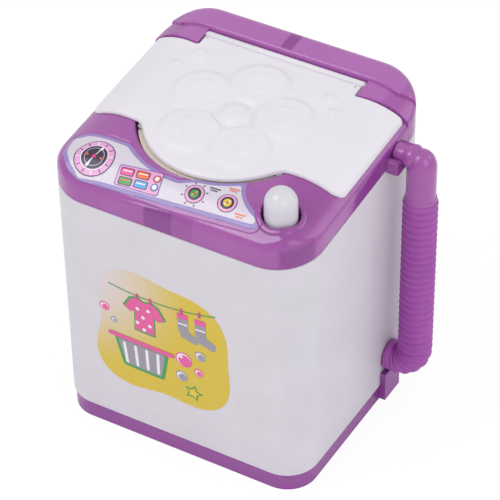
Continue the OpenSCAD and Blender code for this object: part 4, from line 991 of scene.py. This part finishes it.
def buildButton(look):
    r, top = look["radius"], look["dome"]
    neck = look["neck"]
    outer = look["flange"] + [(r, neck)]
    outer += [(r - look["draft"] * s, neck + (top - neck) * s) for s in (0.25, 0.5, 0.75, 0.95)]
    dome = r - look["draft"]
    outer += [(max(dome * math.cos(a), 0.02), top + r * math.sin(a)) for a in np.linspace(0, math.pi / 2, 22)]
    points, faces = turned(look["bore"][::-1] + outer, body["button"])
    cap = addMesh("buttonCap", points, faces, buttonAbs, "button")
    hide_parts("power_button")


def buildSpring(look):
    # the return spring stands on the switch base, a coil as tall as its solid
    low, high = (np.array(corner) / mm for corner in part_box("button_spring"))
    centre = (low + high) / 2
    wire = (high[0] - low[0]) / 2 - look["coil"]
    full = look["turns"] * 2 * math.pi
    around = np.arange(10) * 2 * math.pi / 10
    rings = []
    for turn in np.linspace(0, full, look["turns"] * 32 + 1):
        z = low[2] + wire + (high[2] - low[2] - 2 * wire) * turn / full
        reach = look["coil"] + wire * np.cos(around)
        rings.append(np.column_stack((centre[0] + reach * math.cos(turn), centre[1] + reach * math.sin(turn),
                                      z + wire * np.sin(around))))
    spring = addMesh("buttonSpring", *loft(rings, capStart=True, capEnd=True), nickelPlate, "cabinet")
    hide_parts("button_spring")
    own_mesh(spring)


buildButton(buttonLook)
buildSpring(springLook)
print("button built")


# Drain hose: blown ribs, the bent foot and the smooth elbow

hoseLook = {
    "groove": 5.75, "rib": 6.7, "pitch": 3.02, "top": 101.5, "bore": 4.9,
    "bendX": 57.0, "bendZ": 29.0, "bendAxis": 8.0, "bendRibs": 5,
    # the smooth cuff on the outlet, as x and radius
    "cuff": ((56.6, 6.05), (56.4, 6.2), (54.2, 6.2), (53.95, 6.1), (53.8, 5.8), (53.8, 4.9)),
}


def ribSwell(t):
    # profile of one rib over its pitch: a flat groove and a round swell
    t = np.mod(t, 1.0)
    return np.sin(np.clip((t - 0.12) / 0.76, 0, 1) * math.pi) ** 0.75


def buildHose(look):
    hx, hy = body["hose"]
    low = look["bendZ"] + 0.02
    count = int(round((look["top"] - low) / look["pitch"]))
    pitch = (look["top"] - low) / count
    z = np.linspace(0, count, count * 12 + 1)
    profile = [(look["bore"], low)]
    profile += [(look["groove"] + (look["rib"] - look["groove"]) * float(ribSwell(t)), low + t * pitch) for t in z]
    profile += [(look["bore"], look["top"]), (look["bore"], low)]
    tube = addMesh("drainHoseRibs", *turned(profile, (hx, hy), 72), orchidVinyl, "hose", crease=60)
    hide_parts("drain_hose")

    # the bent foot: rings swept round the quarter turn, then the smooth cuff on the outlet
    ribs = look["bendRibs"]
    around = np.arange(72) * 2 * math.pi / 72
    rings = []

    def bendRing(turn, radius):
        reach = look["bendAxis"] + radius * np.cos(around)
        return np.column_stack((look["bendX"] + reach * math.cos(turn), hy + radius * np.sin(around),
                                look["bendZ"] + reach * math.sin(turn)))

    for t in np.linspace(0, ribs, ribs * 12 + 1):
        radius = look["groove"] + (look["rib"] - look["groove"]) * float(ribSwell(t))
        rings.append(bendRing(-t / ribs * math.pi / 2, radius))
    outletZ = look["bendZ"] - look["bendAxis"]

    def cuffRing(x, radius):
        return np.column_stack((np.full(72, x), hy + radius * np.sin(around), outletZ - radius * np.cos(around)))

    for x, radius in look["cuff"]:
        rings.append(cuffRing(x, radius))
    rings.append(cuffRing(look["bendX"], look["bore"]))
    for t in np.linspace(ribs, 0, 13)[1:]:
        rings.append(bendRing(-t / ribs * math.pi / 2, look["bore"]))
    points, faces = loft(rings, close=True)
    bend = addMesh("hoseBendRibs", points, faces, orchidVinyl, None, crease=60)
    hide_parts("hose_bend")
    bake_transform(bend)


elbowLook = {
    "radius": 5.65, "apex": 4.05, "domeHigh": 7.2, "bore": 3.85, "plug": (4.85, 92.5), "collarZ": 101.5,
    "collar": [(5.9, -0.2), (6.05, 0), (6.05, 1.1), (5.9, 1.4), (5.69, 1.5)],    # radius, height on the hose
    # the arm: reach from the upright's middle and radius, a little fuller where it leaves it
    "arm": ((1.0, 3.9), (2.6, 4.8), (3.6, 4.8), (4.9, 4.65), (5.6, 4.25), (6.2, 4.0), (6.8, 3.9), (9.9, 3.85),
            (10.2, 3.7), (10.3, 3.4), (10.3, 2.9), (6.0, 2.9), (2.0, 2.9)),
}


def buildElbow(look):
    hx, hy = body["hose"]
    r, bore, high, foot = look["radius"], look["bore"], look["domeHigh"], look["collarZ"]
    plugR, plugZ = look["plug"]
    armZ = seamAt(hy) + body["armLift"]
    top = armZ + look["apex"] - high
    profile = [(bore, plugZ), (plugR, plugZ), (plugR, foot - 0.2)]
    profile += [(radius, foot + lift) for radius, lift in look["collar"]]
    profile += [(r, z) for z in np.linspace(foot + 2, top, 9)]
    profile += [(max(r * math.cos(a), 0.02), top + high * math.sin(a)) for a in np.linspace(0.12, math.pi / 2, 16)]
    profile += [(0.02, top + high - 1.0), (bore, top + 1.0), (bore, plugZ)]
    points, faces = turned(profile, (hx, hy), 72)
    rings = [ringRound(hx - reach, hy, armZ, radius, 60) for reach, radius in look["arm"]]
    elbow = addMesh("hoseElbow", *joinShapes((points, faces), loft(rings)), orchidStyrene, "hose", crease=42)
    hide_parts("hose_elbow")


buildHose(hoseLook)
buildElbow(elbowLook)
print("hose built")


# Printed labels: a film, and the inks on it as thin sheets that follow the surface below

inkLook = {
    "ground": ("#DAD2E0", "#D5CCDB"), "border": ("#9885C2", "#927FBE"), "pink": ("#E9A8D8", "#E49FD2"),
    "dark": ("#2C2338", "#352B42"), "white": ("#F1EDF3", "#EBE6EE"), "orange": ("#F0703C", "#E96733"),
    "magenta": ("#E8579F", "#E04D96"), "plum": ("#7B4FA8", "#7447A1"), "lilac": ("#C4B0E0", "#BDA8DB"),
    "green": ("#3E9E50", "#379448"), "blue": ("#45A8E8", "#3C9FE0"), "yellow": ("#E8C832", "#E0BF2A"),
    "rose": ("#D9368B", "#CF2D81"), "grey": ("#9B97A3", "#94909C"),
}
inks = {key: printedFilm(key + "InkFilm", {"colour": pair[0], "shade": pair[1]}) for key, pair in inkLook.items()}
yellowFilm = printedFilm("sunYellowFilm", {  # warm yellow ink, fading to pale lilac at its upper left
    "colour": "#DABE32", "shade": "#D5B82D", "fade": "#DCD3E2", "fadeFrom": (-40, -50, 80), "fadeReach": (8, 50),
    "fadeMost": 0.85})


def disc(centre, r, sides=48):
    return [(centre[0] + r * math.cos(2 * math.pi * k / sides), centre[1] + r * math.sin(2 * math.pi * k / sides))
            for k in range(sides)]


def barShape(a, b, width, roundEnds=False):
    a, b = np.array(a, float), np.array(b, float)
    along = (b - a) / np.linalg.norm(b - a)
    across = np.array((-along[1], along[0])) * width / 2
    if not roundEnds:
        return [tuple(p) for p in (a - across, b - across, b + across, a + across)]
    turn = math.atan2(along[1], along[0])
    ends = []
    for centre, start in ((b, turn - math.pi / 2), (a, turn + math.pi / 2)):
        ends += [(centre[0] + width / 2 * math.cos(start + math.pi * k / 10),
                  centre[1] + width / 2 * math.sin(start + math.pi * k / 10)) for k in range(11)]
    return ends


def spoke(angle, start, stop, width, roundEnds=False):
    x, y = math.cos(math.radians(angle)), math.sin(math.radians(angle))
    return barShape((start * x, start * y), (stop * x, stop * y), width, roundEnds)


def softPolygon(corners, r, step=0.35):
    return [tuple(p) for p in filleted([(x, y, r) for x, y in corners], step)]


def starShape(centre, r, points=5, waist=0.45, turn=90):
    line = []
    for k in range(2 * points):
        a = math.radians(turn + 180 * k / points)
        line.append((centre[0] + r * (waist if k % 2 else 1) * math.cos(a),
                     centre[1] + r * (waist if k % 2 else 1) * math.sin(a)))
    return line


def onDeck(x0, y0):
    # film coordinates round a place on the panel: u across, w up along the slope
    y = np.arange(-50.6, -20, 0.05)
    z = deckHeight(np.full(len(y), float(x0)), y)
    run = np.concatenate([[0], np.cumsum(np.hypot(np.diff(y), np.diff(z)))])
    start = np.interp(y0, y, run)

    def place(flat, lift):
        px = x0 + flat[:, 0]
        py = np.interp(start + flat[:, 1], run, y)
        return np.column_stack((px, py, deckHeight(px, py) + lift))

    return place


def onFront(x0, z0):
    def place(flat, lift):
        z = z0 + flat[:, 1]
        share = (z - body["trayTop"]) / (seamAt(0.0) - body["trayTop"])
        half = (body["footDepth"] + (body["depth"] - body["footDepth"]) * share) / 2
        return np.column_stack((x0 + flat[:, 0], -half - lift, z))
    return place


def printSheets(name, shapes, first, thickness=0.045):
    # shapes hold (outline, ink, layer, place); every layer lies one thickness above the last,
    # and first counts the layers below them
    pieces, tones, names = [], [], []
    for outline, ink, layer, place in shapes:
        flat, faces = sheet(outline, 0.9)
        pieces.append((place(flat, (first + layer + 1) * thickness), faces))
        if ink not in names:
            names.append(ink)
        tones += [names.index(ink)] * len(faces)
    points, faces = joinShapes(*pieces)
    obj = addMesh(name, points, faces, inks[names[0]], "cabinet", crease=60, merge=False)
    for ink in names[1:]:
        obj.data.materials.append(inks[ink])
    obj.data.polygons.foreach_set("material_index", tones)
    return obj


def filmBase(name, outline, place, material, thickness, grid=0.9):
    flat, faces = sheet(outline, grid)
    line = np.array(outline, float)
    skirt = loft([place(line, thickness), place(line, 0.0)])
    return addMesh(name, *joinShapes((place(flat, thickness), faces), skirt), material, "cabinet", crease=60)


def controlShapes():
    shapes = []

    def put(where, outline, ink, layer):
        shapes.append((outline, ink, layer, where))

    def discs(where, sizes, centre=(0, 0), sides=48):
        for r, ink, layer in sizes:
            put(where, disc(centre, r, sides), ink, layer)

    # large dial at the left: pink ring with strokes, dark disc with a bar across it
    big = onDeck(-35.6, -41.4)
    discs(big, ((7.9, "dark", 1), (7.5, "pink", 2), (5.4, "white", 3), (5.0, "dark", 4), (3.9, "lilac", 5),
                (3.6, "dark", 6)))
    put(big, barShape((-1.2, -4.1), (1.2, 4.1), 1.1, True), "white", 7)
    put(big, disc((0, 0), 0.8), "rose", 8)
    for side in (-1, 1):
        put(big, [(side * 2.2, 0.0), (side * 3.3, 0.7), (side * 3.3, -0.7)][::side], "orange", 7)
    for k in range(12):
        put(big, spoke(15 + 30 * k, 5.9, 7.0, 0.5, True), "plum" if k % 3 else "white", 3)
    # panel with four keys and two lamps
    keys = onDeck(-15.2, -43.8)
    put(keys, softPolygon([(-9.5, 3.6), (-8.6, -4.5), (9.4, -3.5), (8.0, 5.8)], 1.0), "plum", 1)
    put(keys, softPolygon([(-9.1, 3.3), (-8.3, -4.2), (9.0, -3.2), (7.7, 5.4)], 0.8), "pink", 2)
    for column, row, ink, mark in ((0, 0, "magenta", "white"), (1, 0, "orange", "white"), (0, 1, "green", "orange"),
                                   (1, 1, "blue", "white")):
        x, y = -8.0 + 6.2 * column + 0.7 * row, 1.2 + 0.7 * column - 3.6 * row
        put(keys, softPolygon([(x - 0.4, y + 1.6), (x, y - 1.5), (x + 5.4, y - 1.0), (x + 5.0, y + 2.1)], 0.6),
            "dark", 3)
        put(keys, softPolygon([(x, y + 1.3), (x + 0.3, y - 1.2), (x + 5.0, y - 0.7), (x + 4.7, y + 1.7)], 0.45),
            ink, 4)
        put(keys, barShape((x + 0.9, y + 0.4), (x + 4.0, y + 0.75), 0.5, True), mark, 5)
    for row, ink in ((0, "orange"), (1, "blue")):
        lamp = (6.4 + 0.4 * row, 2.6 - 3.3 * row)
        discs(keys, ((1.5, "dark", 3), (1.25, ink, 4)), lamp, 28)
        put(keys, disc(lamp, 0.85, 24), "white", 5)
    # two small dials
    for centre, ink, ticks in (((6.9, -41.9), "green", 8), ((19.9, -41.1), "yellow", 0)):
        small = onDeck(*centre)
        discs(small, ((3.75, "dark", 1), (3.45, "pink", 2), (2.5, "dark", 3), (1.6, ink, 4)))
        put(small, barShape((-0.7, -0.9), (0.7, 0.9), 0.5, True), "yellow" if ticks else "white", 5)
        put(small, disc((0, 0), 0.45, 20), "rose", 6)
        for k in range(ticks):
            put(small, spoke(22.5 + 45 * k, 4.2, 5.1, 0.4), "dark", 1)
    # plain marks where the real film has words
    for x, y, ink in ((12.9, -37.4, "dark"), (19.2, -34.6, "orange"), (26.5, -43.4, "orange")):
        mark = onDeck(x, y)
        put(mark, barShape((-1.9, -0.1), (1.9, 0.2), 0.55, True), ink, 1)
        put(mark, barShape((-1.2, -1.1), (1.2, -0.9), 0.45, True), ink, 1)
    return shapes


def buildControlLabel():
    outline = smoothLoop(labelPlan(), 360, 2)
    inner = smoothLoop(labelPlan(-labelLook["border"]), 360, 3)

    def flatDeck(flat, lift):
        return np.column_stack((flat, deckHeight(flat[:, 0], flat[:, 1]) + lift))

    film = filmBase("controlLabel", outline, flatDeck, inks["border"], labelLook["film"])
    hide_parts("control_label")
    ground = printSheets("controlGround", [(inner, "ground", 0, flatDeck)], 3)
    prints = printSheets("controlPrints", controlShapes(), 4)


buildControlLabel()
print("control label built")


frontLook = {
    "place": (-5.0, 55.0), "radius": 30.5, "film": 0.12,
    "lobes": ((0.1, 4, -170), (0.045, 3, 40)),    # share of the radius, how many, turn in degrees
    "line": (19.0, 0.06, 0.0052, 2),              # clothes line: height, slope, sag and where it hangs lowest
}


def stickerOutline(look):
    line = []
    for a in range(0, 360, 2):
        swell = sum(size * math.cos(math.radians(count * a + turn)) for size, count, turn in look["lobes"])
        r = look["radius"] * (1 + swell)
        line.append((r * math.cos(math.radians(a)), r * math.sin(math.radians(a))))
    return line


def lineHeight(x):
    high, slope, sag, lowest = frontLook["line"]
    return high + sag * (x - lowest) ** 2 + slope * x


def frontShapes():
    # a clothes line with a shirt and two socks, a basket, bubbles and a star
    shapes = []
    front = onFront(*frontLook["place"])

    def put(outline, ink, layer):
        shapes.append((outline, ink, layer, front))

    line = [(x, lineHeight(x)) for x in np.linspace(-22, 24, 40)]
    for a, b in zip(line, line[1:]):
        put(barShape(a, b, 0.55), "green", 1)
    shirt = [(-13, 17.6), (-9.5, 18.8), (-6.6, 17.3), (-3.6, 18.4), (-0.2, 16.8), (2.8, 11.4), (-0.6, 9.6),
             (-2.2, 11.6), (-2.4, 1.0), (-11.6, 1.4), (-11.2, 12.0), (-13.0, 10.2), (-16.2, 12.4)]
    put(softPolygon(shirt, 0.5), "green", 1)
    put(softPolygon([(x * 0.9 - 0.7, y * 0.9 + 1.0) for x, y in shirt], 0.4), "magenta", 2)
    for x, y in ((-9.6, 12.8), (-5.0, 13.4), (-7.4, 9.2), (-10.0, 5.8), (-4.6, 6.0), (-7.2, 3.2)):
        put(disc((x, y), 0.8, 20), "white", 3)
    for x, layer in ((7.5, 1), (15.0, 2)):
        sock = [(x, 18.4), (x + 4.6, 18.7), (x + 4.8, 10.6), (x + 9.0, 8.4), (x + 8.2, 5.0), (x + 1.6, 6.8),
                (x + 0.2, 10.6)]
        put(softPolygon(sock, 0.9), "grey", layer)
        put(softPolygon([(x, 18.4), (x + 4.6, 18.7), (x + 4.7, 16.2), (x + 0.1, 15.9)], 0.3), "magenta", 3)
        put(barShape((x + 0.3, 13.4), (x + 4.6, 13.7), 0.7), "white", 3)
    for x in (-9.4, -3.8, 9.6, 17.2):
        put(barShape((x, lineHeight(x) - 1.6), (x, lineHeight(x) + 1.2), 1.0), "rose", 4)
    # basket
    put(softPolygon([(-21, -4.6), (3.0, -5.2), (0.4, -19.4), (-17.4, -18.8)], 1.4), "green", 1)
    put(softPolygon([(-19.4, -5.9), (1.4, -6.4), (-0.9, -18.0), (-16.2, -17.5)], 1.0), "grey", 2)
    for k in range(4):
        x = -16.6 + 4.9 * k
        put(barShape((x, -7.4), (x + 0.9 - 0.35 * k, -16.6), 1.3, True), "white", 3)
    put(barShape((-22.4, -4.4), (4.4, -5.0), 2.1, True), "magenta", 4)
    # bubbles and star
    for x, y, r, ink in ((9.5, -4.6, 3.6, "magenta"), (16.8, 0.2, 2.4, "grey"), (8.2, -13.4, 2.6, "grey"),
                         (15.8, -8.6, 2.0, "magenta"), (-24.4, 8.0, 2.2, "magenta"), (-20.6, 2.6, 1.5, "grey")):
        put(disc((x, y), r, 36), ink, 1)
        put(disc((x, y), r - 0.5, 36), "white", 2)
        put(disc((x + 0.1 * r, y - 0.1 * r), r - 0.9, 36), ink, 3)
        put(disc((x - 0.3 * r, y + 0.35 * r), 0.2 * r, 16), "white", 4)
    put(starShape((13.0, -20.0), 4.2, 5, 0.5, 78), "green", 1)
    put(starShape((13.0, -20.0), 2.9, 5, 0.5, 78), "yellow", 2)
    return shapes


def buildFrontLabel():
    film = filmBase("frontLabel", stickerOutline(frontLook), onFront(*frontLook["place"]), yellowFilm,
                    frontLook["film"])
    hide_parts("front_label")
    prints = printSheets("frontPrints", frontShapes(), 2)


buildFrontLabel()
print("front label built")


# Finishes of the solids that show as they are

finishes = {
    "base_tray": orchidTrim, "battery_door": orchidTrim, "outlet_spigot": orchidTrim,
    "base_screws": zincPlate, "door_screw": zincPlate, "frame_screws": zincPlate, "switch_screws": zincPlate,
    "tub_screws": zincPlate, "bracket_screws": zincPlate,
    "battery_cells": cellJacket, "contact_plates": nickelPlate, "battery_springs": nickelPlate,
    "switch_base": paperBoard, "switch_contact": copperStrip,
    "wash_tub": creamPolypropylene, "shaft_seal": sealRubber, "impeller": buttonAbs,
    "motor_shaft": brightSteel, "motor_rotor": copperWire, "motor_can": brightSteel, "motor_cap": motorNylon,
    "motor_bracket": nickelPlate, "drain_pipe": milkyTube,
    "battery_wire": blackWire, "switch_wire": redWire, "motor_wire": redWire,
}
for nodeName, finish in finishes.items():
    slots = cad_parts[nodeName].data.materials
    if len(slots):
        for index in range(len(slots)):
            slots[index] = finish
    else:
        slots.append(finish)
print("solids finished")
